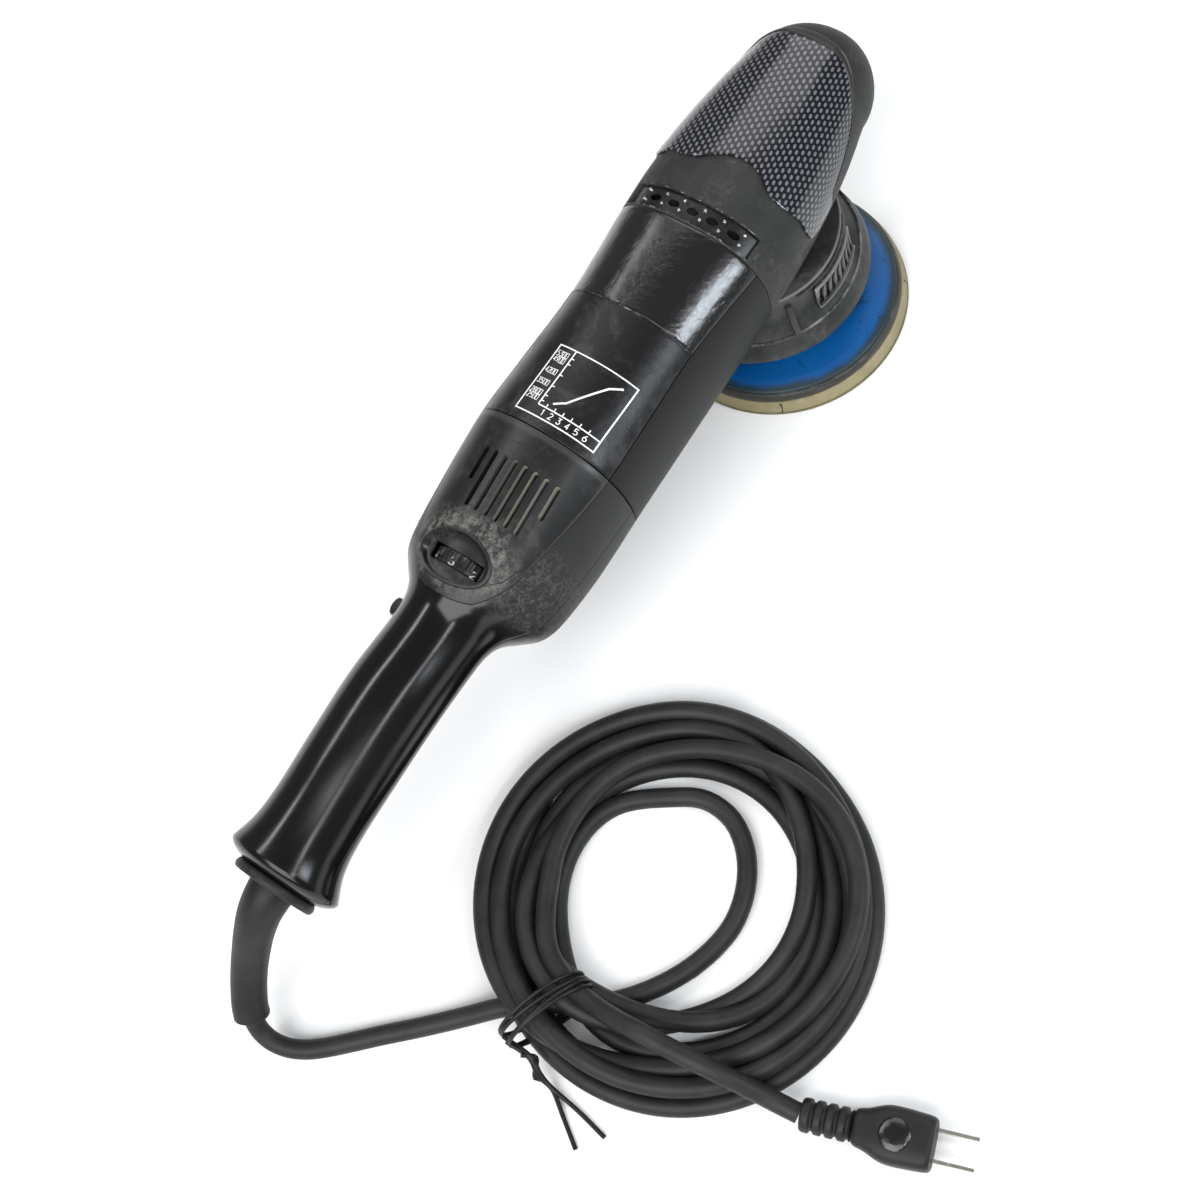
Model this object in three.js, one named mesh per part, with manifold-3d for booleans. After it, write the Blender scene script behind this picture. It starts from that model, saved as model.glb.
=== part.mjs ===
// Dual action polisher with its mains lead coiled on the bench beside it.
// Millimetres, +Z up. The origin is where the spindle axis meets the plane of the hook face,
// +X points to the nose and the handle runs back along -X.
import * as THREE from 'three';
import { mergeVertices } from 'three/addons/utils/BufferGeometryUtils.js';
import Module from 'manifold-3d';

const wasm = await Module();
wasm.setup();

// ---------------------------------------------------------------- driving dimensions

const GAP = 0.3; // clearance between pieces that touch
const FAR = 600; // longer than the whole tool, for cutting boxes

const ORBIT_OFFSET = 7.5; // the plate axis runs this far from the spindle axis
const PLATE_Y = -ORBIT_OFFSET; // the plate axis at rest
const PLATE_RADIUS = 62.5;

const MOTOR_Z = 83; // height of the armature axis
const SHAFT_RADIUS = 4;
const BEARING_RADIUS = 11;
const PINION_ROOM = 9; // radius of the opening that the pinion passes through

const NOSE_START_X = 60; // the nose dome is half an ellipsoid from here
const NOSE_LENGTH = 31;
const BUTT_START_X = -367; // the butt dome, likewise
const BUTT_LENGTH = 8;

const COVER_REAR_X = -38; // head cover against motor housing
const COVER_BOTTOM_Z = 68;
const REAR_SEAM_X = -151.2; // motor housing against rear cap and handle
const PANEL_EDGE_Z = 107; // lower edge of the gloss top panel and the rear cap
const PARTING_Z = 80.5; // handle halves meet here
const SKIN = 2.8; // wall of the plastic shells

const DIAL_X = -216;
const DIAL_Z = 98.5;
const DIAL_RADIUS = 15;
const DIAL_WIDTH = 7;
const DIAL_BORE = 2.6;

const TRIGGER_PIVOT = { x: -256, z: 67 };
const TRIGGER_LENGTH = 62;
const TRIGGER_WIDTH = 18;
const LOCK_BUTTON = { x: -244, z: 85, radius: 4.5 };

const CORD_RADIUS = 4.6;
const COIL = { x: -280, y: -135.5, radius: 74.5, halfWidth: 23, halfHeight: 11.5 };
const TIE_TURN = THREE.MathUtils.degToRad(164); // where round the coil the tie sits
const PLUG = { x: -328, y: -233, z: 9.2, turn: Math.atan2(-0.937, 0.35) };

const SECTION_SIDES = 24;
const ROUND_SIDES = 36;

// The outer skin from butt to nose: half width, top and bottom height, and the superellipse
// power of the section (2 is round, more is squarer).
const STATIONS = [
  [-367, 28.0, 102.5, 48.5, 2.0],
  [-355, 23.8, 101.4, 55.2, 2.0],
  [-340, 22.2, 102.2, 59.0, 2.0],
  [-310, 22.2, 106.2, 61.8, 2.0],
  [-280, 22.4, 108.6, 63.8, 2.0],
  [-250, 22.0, 106.8, 62.4, 2.0],
  [-240, 22.6, 107.4, 60.6, 2.0],
  [-233, 24.8, 109.4, 57.0, 2.1],
  [-227, 30.0, 111.6, 51.0, 2.2],
  [-220, 35.6, 113.6, 44.4, 2.25],
  [-210, 38.2, 116.0, 40.0, 2.3],
  [-185, 40.2, 120.4, 38.4, 2.3],
  [-168, 40.8, 123.2, 39.6, 2.3],
  [-150, 41.0, 125.4, 41.6, 2.3],
  [-120, 40.4, 124.6, 42.2, 2.3],
  [-85, 39.6, 123.8, 42.4, 2.3],
  [-60, 40.2, 124.6, 46.0, 2.35],
  [-38, 41.0, 125.6, 52.0, 2.4],
  [-10, 41.4, 126.2, 57.0, 2.4],
  [15, 39.4, 126.6, 60.5, 2.35],
  [40, 35.6, 126.8, 64.0, 2.25],
  [60, 31.4, 126.2, 69.0, 2.15],
].map(([x, half, top, bottom, power]) => ({ x, half, top, bottom, power }));

// ---------------------------------------------------------------- solids from geometry

// A closed geometry as a solid that can be cut and joined.
function solid(geometry) {
  const loose = geometry.index ? geometry.toNonIndexed() : geometry;
  const bare = new THREE.BufferGeometry();
  bare.setAttribute('position', loose.getAttribute('position'));
  const merged = mergeVertices(bare, 1e-4);
  const corners = merged.index.array;
  const kept = [];
  for (let i = 0; i < corners.length; i += 3) {
    const [a, b, c] = [corners[i], corners[i + 1], corners[i + 2]];
    if (a !== b && b !== c && c !== a) kept.push(a, b, c);
  }
  return new wasm.Manifold(new wasm.Mesh({
    numProp: 3,
    vertProperties: merged.attributes.position.array,
    triVerts: new Uint32Array(kept),
  }));
}

function geometryOf(manifold) {
  const mesh = manifold.getMesh();
  const geometry = new THREE.BufferGeometry();
  geometry.setAttribute('position', new THREE.BufferAttribute(mesh.vertProperties, 3));
  geometry.setIndex(new THREE.BufferAttribute(mesh.triVerts, 1));
  const faceted = geometry.toNonIndexed();
  faceted.computeVertexNormals();
  return faceted;
}

function block([x0, x1], [y0, y1], [z0, z1]) {
  const box = new THREE.BoxGeometry(x1 - x0, y1 - y0, z1 - z0);
  return solid(box.translate((x0 + x1) / 2, (y0 + y1) / 2, (z0 + z1) / 2));
}

// A solid of revolution about Z from [radius, height] pairs that start and end on the axis
// or close on themselves.
function turned(profile, sides = ROUND_SIDES) {
  const points = profile.map(([radius, height]) => new THREE.Vector2(radius, height));
  return new THREE.LatheGeometry(points, sides).rotateX(Math.PI / 2);
}

function tubeProfile(inner, outer, low, high) {
  if (inner === 0) return [[0, low], [outer, low], [outer, high], [0, high]];
  return [[inner, low], [outer, low], [outer, high], [inner, high], [inner, low]];
}

function tubeZ(inner, outer, low, high, x = 0, y = 0, sides = 16) {
  return solid(turned(tubeProfile(inner, outer, low, high), sides).translate(x, y, 0));
}

function tubeX(inner, outer, rear, front, y = 0, z = MOTOR_Z, sides = 16) {
  const lathe = turned(tubeProfile(inner, outer, rear, front), sides);
  return solid(lathe.rotateY(Math.PI / 2).translate(0, y, z));
}

function tubeY(inner, outer, right, left, x, z, sides = 12) {
  const lathe = turned(tubeProfile(inner, outer, -left, -right), sides);
  return solid(lathe.rotateX(Math.PI / 2).translate(x, 0, z));
}

// A prism that stands on the XY plane, from [x, y] corners listed anticlockwise.
function standing(corners, low, high) {
  const outline = new THREE.Shape(corners.map(([x, y]) => new THREE.Vector2(x, y)));
  const prism = new THREE.ExtrudeGeometry(outline, { depth: high - low, bevelEnabled: false });
  return solid(prism.translate(0, 0, low));
}

// A closed skin through rings of points that run anticlockwise about the direction of travel.
function loft(rings) {
  const count = rings[0].length;
  const middle = (ring) => ring.reduce((sum, p) => sum.add(p), new THREE.Vector3())
    .divideScalar(count);
  const points = [...rings.flat(), middle(rings[0]), middle(rings.at(-1))];
  const first = rings.length * count;
  const last = first + 1;
  const faces = [];
  rings.forEach((_, i) => {
    for (let j = 0; j < count; j += 1) {
      const a = i * count + j;
      const b = i * count + ((j + 1) % count);
      if (i === 0) faces.push(first, b, a);
      if (i === rings.length - 1) faces.push(last, a, b);
      else faces.push(a, b, a + count, b, b + count, a + count);
    }
  });
  const geometry = new THREE.BufferGeometry().setFromPoints(points);
  geometry.setIndex(faces);
  return solid(geometry);
}

// ---------------------------------------------------------------- the tool's outer skin

// A smooth value between stations, by cubic Hermite pieces.
function along(key, x) {
  const last = STATIONS.length - 1;
  const found = STATIONS.findIndex((station) => station.x > x);
  const i = THREE.MathUtils.clamp(found < 0 ? last : found, 1, last) - 1;
  const slope = (k) => {
    const before = STATIONS[Math.max(k - 1, 0)];
    const after = STATIONS[Math.min(k + 1, last)];
    return (after[key] - before[key]) / (after.x - before.x);
  };
  const [from, to] = [STATIONS[i], STATIONS[i + 1]];
  const width = to.x - from.x;
  const t = THREE.MathUtils.clamp((x - from.x) / width, 0, 1);
  return from[key] * (2 * t ** 3 - 3 * t ** 2 + 1)
    + to[key] * (3 * t ** 2 - 2 * t ** 3)
    + slope(i) * width * (t ** 3 - 2 * t ** 2 + t)
    + slope(i + 1) * width * (t ** 3 - t ** 2);
}

// One ring of the skin, grown outwards; shrink below 1 closes a dome.
function skinRing(x, sectionX, grow, shrink) {
  const power = along('power', sectionX);
  const top = along('top', sectionX);
  const bottom = along('bottom', sectionX);
  const half = (along('half', sectionX) + grow) * shrink;
  const rise = ((top - bottom) / 2 + grow) * shrink;
  return Array.from({ length: SECTION_SIDES }, (_, j) => {
    const angle = (2 * Math.PI * (j + 0.5)) / SECTION_SIDES;
    const bulge = (value) => Math.sign(value) * Math.abs(value) ** (2 / power);
    const y = half * bulge(Math.cos(angle));
    const z = (top + bottom) / 2 + rise * bulge(Math.sin(angle));
    return new THREE.Vector3(x, y, z);
  });
}

const DOME_STEPS = [0.96, 0.82, 0.6, 0.3];
const RING_X = [-365, -355, -340, -310, -280, -240, -233, -227, -220, -210, -185, -150, -85,
  -38, -10, 15, 40, 60];

// The whole outer skin as a solid, grown outwards by a distance (negative is inwards).
function skin(grow = 0) {
  const rings = [];
  DOME_STEPS.forEach((part) => {
    const x = BUTT_START_X - (BUTT_LENGTH + grow) * part;
    rings.push(skinRing(x, BUTT_START_X, grow, Math.sqrt(1 - part ** 2)));
  });
  RING_X.forEach((x) => rings.push(skinRing(x, x, grow, 1)));
  DOME_STEPS.toReversed().forEach((part) => {
    const x = NOSE_START_X + (NOSE_LENGTH + grow) * part;
    rings.push(skinRing(x, NOSE_START_X, grow, Math.sqrt(1 - part ** 2)));
  });
  return loft(rings);
}

const wall = (thickness) => skin().subtract(skin(-thickness));
const cutAll = (whole, cutters) => cutters.reduce((left, cutter) => left.subtract(cutter), whole);
const between = (rear, front) => block([rear, front], [-FAR, FAR], [-FAR, FAR]);
const above = (z) => block([-FAR, FAR], [-FAR, FAR], [z, FAR]);
const below = (z) => block([-FAR, FAR], [-FAR, FAR], [-FAR, z]);

// ---------------------------------------------------------------- finishes and the tree

function finish(color, roughness, metalness = 0) {
  return () => new THREE.MeshStandardMaterial({ color, roughness, metalness });
}

const FINISH = {
  glossBlack: finish('#0b0b0c', 0.18),
  satinBlack: finish('#17181a', 0.42),
  padGrey: finish('#26272a', 0.62),
  coverGrey: finish('#2f3032', 0.72),
  weave: finish('#1b1e27', 0.25),
  shroudGrey: finish('#343536', 0.68),
  blue: finish('#0a5fb4', 0.4),
  rimGrey: finish('#3a3d3c', 0.6),
  foam: finish('#b6a97f', 0.95),
  hook: finish('#8d8468', 0.95),
  aluminium: finish('#b8babd', 0.45, 1),
  steel: finish('#8f9398', 0.3, 1),
  laminate: finish('#5a5d62', 0.5, 1),
  copper: finish('#b8692f', 0.35, 1),
  brass: finish('#c9a24b', 0.35, 1),
  carbon: finish('#202022', 0.8),
  nylon: finish('#3c3d40', 0.5),
  board: finish('#1f5a34', 0.5),
  cordRubber: finish('#2b2b2b', 0.75),
  tieBlack: finish('#101010', 0.5),
  nickel: finish('#c4c0b4', 0.25, 1),
};

const polisher = new THREE.Group();

function add(name, shape, makeMaterial) {
  const geometry = shape.isBufferGeometry ? shape : geometryOf(shape);
  const mesh = new THREE.Mesh(geometry, makeMaterial());
  mesh.name = name;
  polisher.add(mesh);
}

// ---------------------------------------------------------------- head

const CHIN_X = 46; // the cover's underside is open behind this
const GRILLE = { rear: -37.4, front: -24.8, halfWidth: 33, low: 98, deep: 3.0, shallow: 1.4 };
const GRILLE_SLOT = { count: 5, pitch: 12, halfWidth: 3.5, rear: -33.5, front: -28.5 };

function grilleRegion(margin) {
  const y = GRILLE.halfWidth + margin;
  return block([GRILLE.rear - margin, GRILLE.front + margin], [-y, y], [GRILLE.low, FAR]);
}

function headCover() {
  const rubber = wall(SKIN).intersect(between(COVER_REAR_X, FAR));
  const underside = block([-FAR, CHIN_X], [-FAR, FAR], [-FAR, COVER_BOTTOM_Z]);
  const y = GRILLE.halfWidth + GAP;
  const rearEdge = block([COVER_REAR_X - 1, GRILLE.front], [-y, y], [GRILLE.low, FAR]);
  return cutAll(rubber, [underside, grilleRegion(GAP), rearEdge]);
}

const INSERT = { thick: 1.2, low: 97.5, high: 140 };

// The woven-look panel over the nose; its rear edge waves forward in the middle.
function noseInsert() {
  const leftHalf = [[68, 6], [66, 16], [62.8, 23.3], [56, 29.2], [47, 33.4], [38, 36.2], [32, 46],
    [-3, 46], [-6.5, 34], [-4, 25.6], [0, 19], [2, 9.5]];
  const rightHalf = leftHalf.toReversed().map(([x, y]) => [x, -y]);
  const shell = skin(INSERT.thick).subtract(skin(GAP));
  return shell.intersect(standing([...leftHalf, ...rightHalf], INSERT.low, INSERT.high));
}

function exhaustGrille() {
  const plate = skin(-GRILLE.shallow).subtract(skin(-GRILLE.deep)).intersect(grilleRegion(0));
  const { count, pitch, halfWidth, rear, front } = GRILLE_SLOT;
  const slots = Array.from({ length: count }, (_, i) => {
    const y = (i - (count - 1) / 2) * pitch;
    return block([rear, front], [y - halfWidth, y + halfWidth], [GRILLE.low, FAR]);
  });
  return cutAll(plate, slots);
}

const NECK = { radius: 24, low: 50, floor: 66.5 };
const GEAR_CASE = { rear: -23, front: 44, clearance: 0.4, bossRadius: 14, bossRear: -35 };
const GEAR_CAVITY = { radius: 27.5, low: 68, high: 90 };
const REAR_PLATE = { rear: -37.8, front: -34.5, holeRadius: 6, holeRing: 24, holes: 6 };
const UPPER_SEAT_TOP = 97.6; // the spindle's bearings press into these seats
const LOWER_SEAT_TOP = 62.4;
const FRONT_SEAT_X = -26.2;

function gearCase() {
  const inside = skin(-SKIN - GEAR_CASE.clearance);
  const casting = inside.intersect(between(GEAR_CASE.rear, GEAR_CASE.front))
    .intersect(above(NECK.floor));
  const rearPlate = inside.intersect(between(REAR_PLATE.rear, REAR_PLATE.front));
  const neck = tubeZ(0, NECK.radius, NECK.low, NECK.floor + 1);
  const boss = tubeX(0, GEAR_CASE.bossRadius, GEAR_CASE.bossRear, GEAR_CASE.rear + 1);
  const seat = BEARING_RADIUS + GAP;
  const airHoles = Array.from({ length: REAR_PLATE.holes }, (_, i) => {
    const angle = (2 * Math.PI * (i + 0.5)) / REAR_PLATE.holes;
    const y = REAR_PLATE.holeRing * Math.cos(angle);
    const z = MOTOR_Z + REAR_PLATE.holeRing * Math.sin(angle);
    return tubeX(0, REAR_PLATE.holeRadius, REAR_PLATE.rear - 1, REAR_PLATE.front + 1, y, z, 8);
  });
  return cutAll(casting.add(rearPlate).add(neck).add(boss), [
    tubeZ(0, GEAR_CAVITY.radius, GEAR_CAVITY.low, GEAR_CAVITY.high),
    tubeZ(0, seat, GEAR_CAVITY.high - 1, UPPER_SEAT_TOP),
    tubeZ(0, SHAFT_RADIUS + 3, LOWER_SEAT_TOP - 1, GEAR_CAVITY.low + 1),
    tubeZ(0, seat, NECK.low - 1, LOWER_SEAT_TOP),
    tubeX(0, PINION_ROOM, FRONT_SEAT_X, 0),
    tubeX(0, SHAFT_RADIUS + 1, REAR_PLATE.rear - 1, GEAR_CASE.rear + 1),
    tubeX(0, seat, REAR_PLATE.rear - 1, FRONT_SEAT_X),
    ...airHoles,
  ]);
}

const LOUVRE = { count: 8, pitch: 3.4, firstX: -8, halfWidth: 0.9, low: 51, high: 59 };

// The rubber bell that hangs from the gear case over the plate.
function shroud() {
  const bell = solid(turned([
    [26, 64], [42, 64], [42.2, 49], [48, 41.5], [51.6, 36.6], [52.2, 31],
    [54, 31], [54.2, 36], [50.2, 43.2], [44.8, 48.6], [44.2, 66], [26, 66], [26, 64],
  ]));
  const { count, pitch, firstX, halfWidth, low, high } = LOUVRE;
  const louvres = [[-60, -30], [30, 60]].flatMap((reach) => (
    Array.from({ length: count }, (_, i) => {
      const x = firstX + i * pitch;
      return block([x - halfWidth, x + halfWidth], reach, [low, high]);
    })));
  const motorRoom = skin(0.8).intersect(between(-FAR, COVER_REAR_X + 4.2));
  return cutAll(bell, [motorRoom, ...louvres]);
}

add('head_cover', headCover(), FINISH.coverGrey);
add('nose_insert', noseInsert(), FINISH.weave);
add('exhaust_grille', exhaustGrille(), FINISH.satinBlack);
add('gear_case', gearCase(), FINISH.aluminium);
add('shroud', shroud(), FINISH.shroudGrey);

// ---------------------------------------------------------------- motor housing

const PANEL = 2.1; // thickness of the panels over the motor housing
const MOTOR_SPAN = between(REAR_SEAM_X + GAP, COVER_REAR_X - GAP);

function motorHousing() {
  const tube = skin(-PANEL - GAP).subtract(skin(-PANEL - GAP - SKIN));
  return tube.intersect(MOTOR_SPAN);
}

function sidePad(side) {
  const half = block([-FAR, FAR], side < 0 ? [-FAR, -GAP / 2] : [GAP / 2, FAR], [-FAR, FAR]);
  const skinPiece = wall(PANEL).intersect(MOTOR_SPAN).intersect(half);
  return skinPiece.intersect(below(PANEL_EDGE_Z - GAP));
}

add('motor_housing', motorHousing(), FINISH.nylon);
add('top_panel', wall(PANEL).intersect(MOTOR_SPAN).intersect(above(PANEL_EDGE_Z)), FINISH.glossBlack);
add('side_pad_left', sidePad(1), FINISH.padGrey);
add('side_pad_right', sidePad(-1), FINISH.padGrey);

// ---------------------------------------------------------------- rear cap and speed dial

const CAP_END = { x: -200, reach: 32.5, half: 34, straightX: -185 };
const BEZEL = { reach: 11.5, half: 19.4, y: 1, low: 95 };
const BEZEL_SLOT = { halfLength: 4.6, right: -12.5, left: 14.5 };
const VENT = {
  count: 8, pitch: 5.4, y: -4.5, halfWidth: 1.1, front: -167.2, rear: -194.6, shortRear: -183.5,
};

function arc(x, y, reach, half, from, to, steps) {
  return Array.from({ length: steps + 1 }, (_, i) => {
    const angle = THREE.MathUtils.degToRad(from + ((to - from) * i) / steps);
    return [x + reach * Math.cos(angle), y + half * Math.sin(angle)];
  });
}

// The cap's outline from above: straight sides and a round rear end.
function capRegion(margin) {
  const rearEnd = arc(CAP_END.x, 0, CAP_END.reach + margin, CAP_END.half + margin, 115, 245, 12);
  const front = REAR_SEAM_X + margin;
  const { straightX } = CAP_END;
  const outline = [[front, 60], [straightX, 60], ...rearEnd, [straightX, -60], [front, -60]];
  return standing(outline, PANEL_EDGE_Z - margin, FAR);
}

function bezelRegion(margin) {
  const rim = arc(DIAL_X, BEZEL.y, BEZEL.reach + margin, BEZEL.half + margin, 0, 342, 19);
  return standing(rim, BEZEL.low, FAR);
}

function rearCap() {
  const shell = wall(SKIN).intersect(capRegion(0)).subtract(bezelRegion(GAP));
  const middle = (VENT.count - 1) / 2;
  return cutAll(shell, Array.from({ length: VENT.count }, (_, i) => {
    const y = VENT.y + (i - middle) * VENT.pitch;
    const rear = Math.abs(i - middle) === middle ? VENT.shortRear : VENT.rear;
    return block([rear, VENT.front], [y - VENT.halfWidth, y + VENT.halfWidth], [104, 130]);
  }));
}

function dialBezel() {
  const plate = skin(-1.4).subtract(skin(-3.6)).intersect(bezelRegion(0));
  const { halfLength, right, left } = BEZEL_SLOT;
  return plate.subtract(block([DIAL_X - halfLength, DIAL_X + halfLength], [right, left],
    [BEZEL.low, FAR]));
}

const CORD_HOLE = { radius: 11.3, z: 76, rear: -380, front: -368 };
const SCREW = { sunk: 1.2, headRadius: 3.2, headHeight: 3, radius: 1.9, length: 22 };
const SCREW_X = [-205, -338];
const PIN_RADIUS = 1.5;

function handleHalf(side) {
  const shell = wall(SKIN).intersect(between(-FAR, REAR_SEAM_X));
  const half = side > 0 ? above(PARTING_Z + GAP / 2) : below(PARTING_Z - GAP / 2);
  const cordHole = tubeX(0, CORD_HOLE.radius, CORD_HOLE.rear, CORD_HOLE.front, 0, CORD_HOLE.z);
  const { x, z, radius } = LOCK_BUTTON;
  return cutAll(shell.intersect(half), [cordHole, tubeY(0, radius + GAP, 10, 40, x, z)]);
}

function handleLower() {
  const slot = block(
    [TRIGGER_PIVOT.x - TRIGGER_LENGTH - 1, TRIGGER_PIVOT.x + 5.5],
    [-TRIGGER_WIDTH / 2 - 0.5, TRIGGER_WIDTH / 2 + 0.5],
    [40, 78],
  );
  const screwHoles = SCREW_X.map((x) => tubeZ(0, SCREW.headRadius + 0.5, 30, 66, x, 0, 12));
  const pinHole = tubeY(0, PIN_RADIUS + GAP, -16, 16, TRIGGER_PIVOT.x, TRIGGER_PIVOT.z);
  return cutAll(handleHalf(-1), [slot, pinHole, ...screwHoles]);
}

function handleScrew(x) {
  const low = along('bottom', x) + SCREW.sunk;
  const head = tubeZ(0, SCREW.headRadius, low, low + SCREW.headHeight, x, 0, 12);
  return head.add(tubeZ(0, SCREW.radius, low, low + SCREW.length, x, 0, 8));
}

function speedWheel() {
  const [rear, front] = [DIAL_X - DIAL_WIDTH / 2, DIAL_X + DIAL_WIDTH / 2];
  return tubeX(DIAL_BORE, DIAL_RADIUS, rear, front, BEZEL.y, DIAL_Z, 28);
}

add('rear_cap', rearCap(), FINISH.satinBlack);
add('dial_bezel', dialBezel(), FINISH.satinBlack);
add('handle_upper', cutAll(handleHalf(1), [capRegion(GAP), bezelRegion(GAP)]), FINISH.glossBlack);
add('handle_lower', handleLower(), FINISH.glossBlack);
SCREW_X.forEach((x, i) => add(`handle_screw_${i + 1}`, handleScrew(x), FINISH.steel));
add('speed_wheel', speedWheel(), FINISH.satinBlack);
add('speed_board', block([-207, -161], [-20, 20], [97, 98.6]), FINISH.board);

// ---------------------------------------------------------------- trigger, lock and switch

function trigger() {
  const profile = new THREE.Shape();
  const { x, z } = TRIGGER_PIVOT;
  profile.moveTo(x + 4.5, z - 4.5);
  profile.lineTo(x + 4.5, z + 4.5);
  profile.lineTo(x - 6, z + 4.5);
  profile.lineTo(x - TRIGGER_LENGTH, z - 1);
  profile.lineTo(x - TRIGGER_LENGTH, z - 5);
  profile.quadraticCurveTo(x - TRIGGER_LENGTH + 4, z - 12, x - TRIGGER_LENGTH + 14, z - 11.5);
  profile.quadraticCurveTo(x - 24, z - 12, x - 4, z - 6.5);
  const bar = new THREE.ExtrudeGeometry(profile, {
    depth: TRIGGER_WIDTH, bevelEnabled: false, curveSegments: 8,
  });
  const lever = solid(bar.translate(0, 0, -TRIGGER_WIDTH / 2).rotateX(Math.PI / 2));
  return lever.subtract(tubeY(0, PIN_RADIUS + GAP, -20, 20, x, z, 16));
}

function lockButton() {
  const { x, z, radius } = LOCK_BUTTON;
  return tubeY(0, radius, 12, 26, x, z).add(tubeY(0, radius + 2, 12, 15, x, z));
}

add('trigger', trigger(), FINISH.satinBlack);
add('trigger_pin', tubeY(0, PIN_RADIUS, -14, 14, TRIGGER_PIVOT.x, TRIGGER_PIVOT.z, 16), FINISH.steel);
add('lock_button', lockButton(), FINISH.satinBlack);
add('switch_body', block([-304, -262], [-9, 9], [80, 98]), FINISH.nylon);
add('cord_clamp', block([-354, -342], [-8, 8], [70, 76]), FINISH.nylon);

// A zigzag leaf spring between the switch and the trigger, pressed when the trigger is pulled.
function triggerSpring() {
  const bends = [[-286, 69.8], [-283.6, 71.4], [-288.4, 73.6], [-283.6, 75.8], [-288.4, 78],
    [-286, 79.7]];
  const leaf = 0.9;
  const outline = [
    ...bends.map(([x, z]) => new THREE.Vector2(x + leaf, z)),
    ...bends.toReversed().map(([x, z]) => new THREE.Vector2(x - leaf, z)),
  ];
  return new THREE.ExtrudeGeometry(new THREE.Shape(outline), { depth: 5, bevelEnabled: false })
    .translate(0, 0, -2.5)
    .rotateX(Math.PI / 2);
}

add('trigger_spring', triggerSpring(), FINISH.steel);

// ---------------------------------------------------------------- motor

const STATOR = { rear: -128, front: -74, inner: 20.4, outer: 32.2 };
const WINDING = { inner: 21.2, outer: 28.2, overhang: 7, poleZ: 13.7 };
const FAN = { rear: -50, front: -39.6, radius: 25, hubRadius: 9, thick: 1.6, blades: 7 };
const BRUSH = { x: -142, halfWidth: 2.5, halfHeight: 4 };
const BRACKET = {
  rear: -158, front: -152, bore: 9.5, radius: 34, windowRing: 22, windowRadius: 7.5, windows: 4,
};
const COMMUTATOR_RADIUS = 11.5;
const PINION_SEAT = 2; // radius of the shaft inside the pinion

// A piece with a bore that fits over the armature shaft.
const onShaft = (outer, rear, front, sides = 16) => (
  tubeX(SHAFT_RADIUS + GAP, outer, rear, front, 0, MOTOR_Z, sides));

function fieldStator() {
  const ring = tubeX(STATOR.inner, STATOR.outer, STATOR.rear, STATOR.front, 0, MOTOR_Z, 28);
  const channel = tubeX(WINDING.inner - GAP, WINDING.outer + GAP, -FAR, FAR, 0, MOTOR_Z, 28);
  const zone = block([-FAR, FAR], [-FAR, FAR],
    [MOTOR_Z - WINDING.poleZ - GAP, MOTOR_Z + WINDING.poleZ + GAP]);
  return ring.subtract(channel.intersect(zone));
}

// A span between two distances from a centre line, on its left (1) or right (-1) side.
const onSide = (side, near, far) => [near * side, far * side].sort((a, b) => a - b);

function fieldWinding(side) {
  const saddle = tubeX(WINDING.inner, WINDING.outer, STATOR.rear - WINDING.overhang,
    STATOR.front + WINDING.overhang, 0, MOTOR_Z, 28);
  const zSpan = (near) => onSide(side, near, FAR).map((z) => MOTOR_Z + z);
  const half = block([-FAR, FAR], [-FAR, FAR], zSpan(0.5));
  const pole = block([STATOR.rear - GAP, STATOR.front + GAP], [-FAR, FAR], zSpan(WINDING.poleZ));
  return saddle.intersect(half).subtract(pole);
}

function armatureShaft() {
  const journal = tubeX(0, SHAFT_RADIUS, BRACKET.rear - 0.5, -24.5, 0, MOTOR_Z, 16);
  return journal.add(tubeX(0, PINION_SEAT, -25, -15, 0, MOTOR_Z, 12));
}

function coolingFan() {
  const disc = onShaft(FAN.radius, FAN.rear, FAN.rear + FAN.thick, 28);
  const hub = onShaft(FAN.hubRadius, FAN.rear, FAN.front);
  const length = FAN.radius - FAN.hubRadius + 0.5;
  const blades = Array.from({ length: FAN.blades }, (_, i) => {
    const blade = new THREE.BoxGeometry(FAN.front - FAN.rear - 2.4, length, FAN.thick)
      .translate((FAN.front + FAN.rear) / 2, FAN.radius - length / 2, 0);
    return solid(blade.rotateX((2 * Math.PI * i) / FAN.blades).translate(0, 0, MOTOR_Z));
  });
  return blades.reduce((joined, blade) => joined.add(blade), disc.add(hub));
}

function brushHolder(side) {
  const [rear, front] = [BRUSH.x - 5, BRUSH.x + 5];
  const body = block([rear, front], onSide(side, 14, 31), [MOTOR_Z - 6.5, MOTOR_Z + 6.5]);
  const halfWidth = BRUSH.halfWidth + GAP;
  const halfHeight = BRUSH.halfHeight + GAP;
  return body.subtract(block([BRUSH.x - halfWidth, BRUSH.x + halfWidth], onSide(side, 10, 40),
    [MOTOR_Z - halfHeight, MOTOR_Z + halfHeight]));
}

function carbonBrush(side) {
  return block([BRUSH.x - BRUSH.halfWidth, BRUSH.x + BRUSH.halfWidth],
    onSide(side, COMMUTATOR_RADIUS + 0.4, 25),
    [MOTOR_Z - BRUSH.halfHeight, MOTOR_Z + BRUSH.halfHeight]);
}

function bearingBracket() {
  const { rear, front, bore, radius, windowRing, windowRadius, windows } = BRACKET;
  const disc = tubeX(bore + GAP, radius, rear, front, 0, MOTOR_Z, 28);
  return cutAll(disc, Array.from({ length: windows }, (_, i) => {
    const angle = (2 * Math.PI * (i + 0.5)) / windows;
    const y = windowRing * Math.cos(angle);
    const z = MOTOR_Z + windowRing * Math.sin(angle);
    return tubeX(0, windowRadius, rear - 1, front + 1, y, z, 8);
  }));
}

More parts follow.
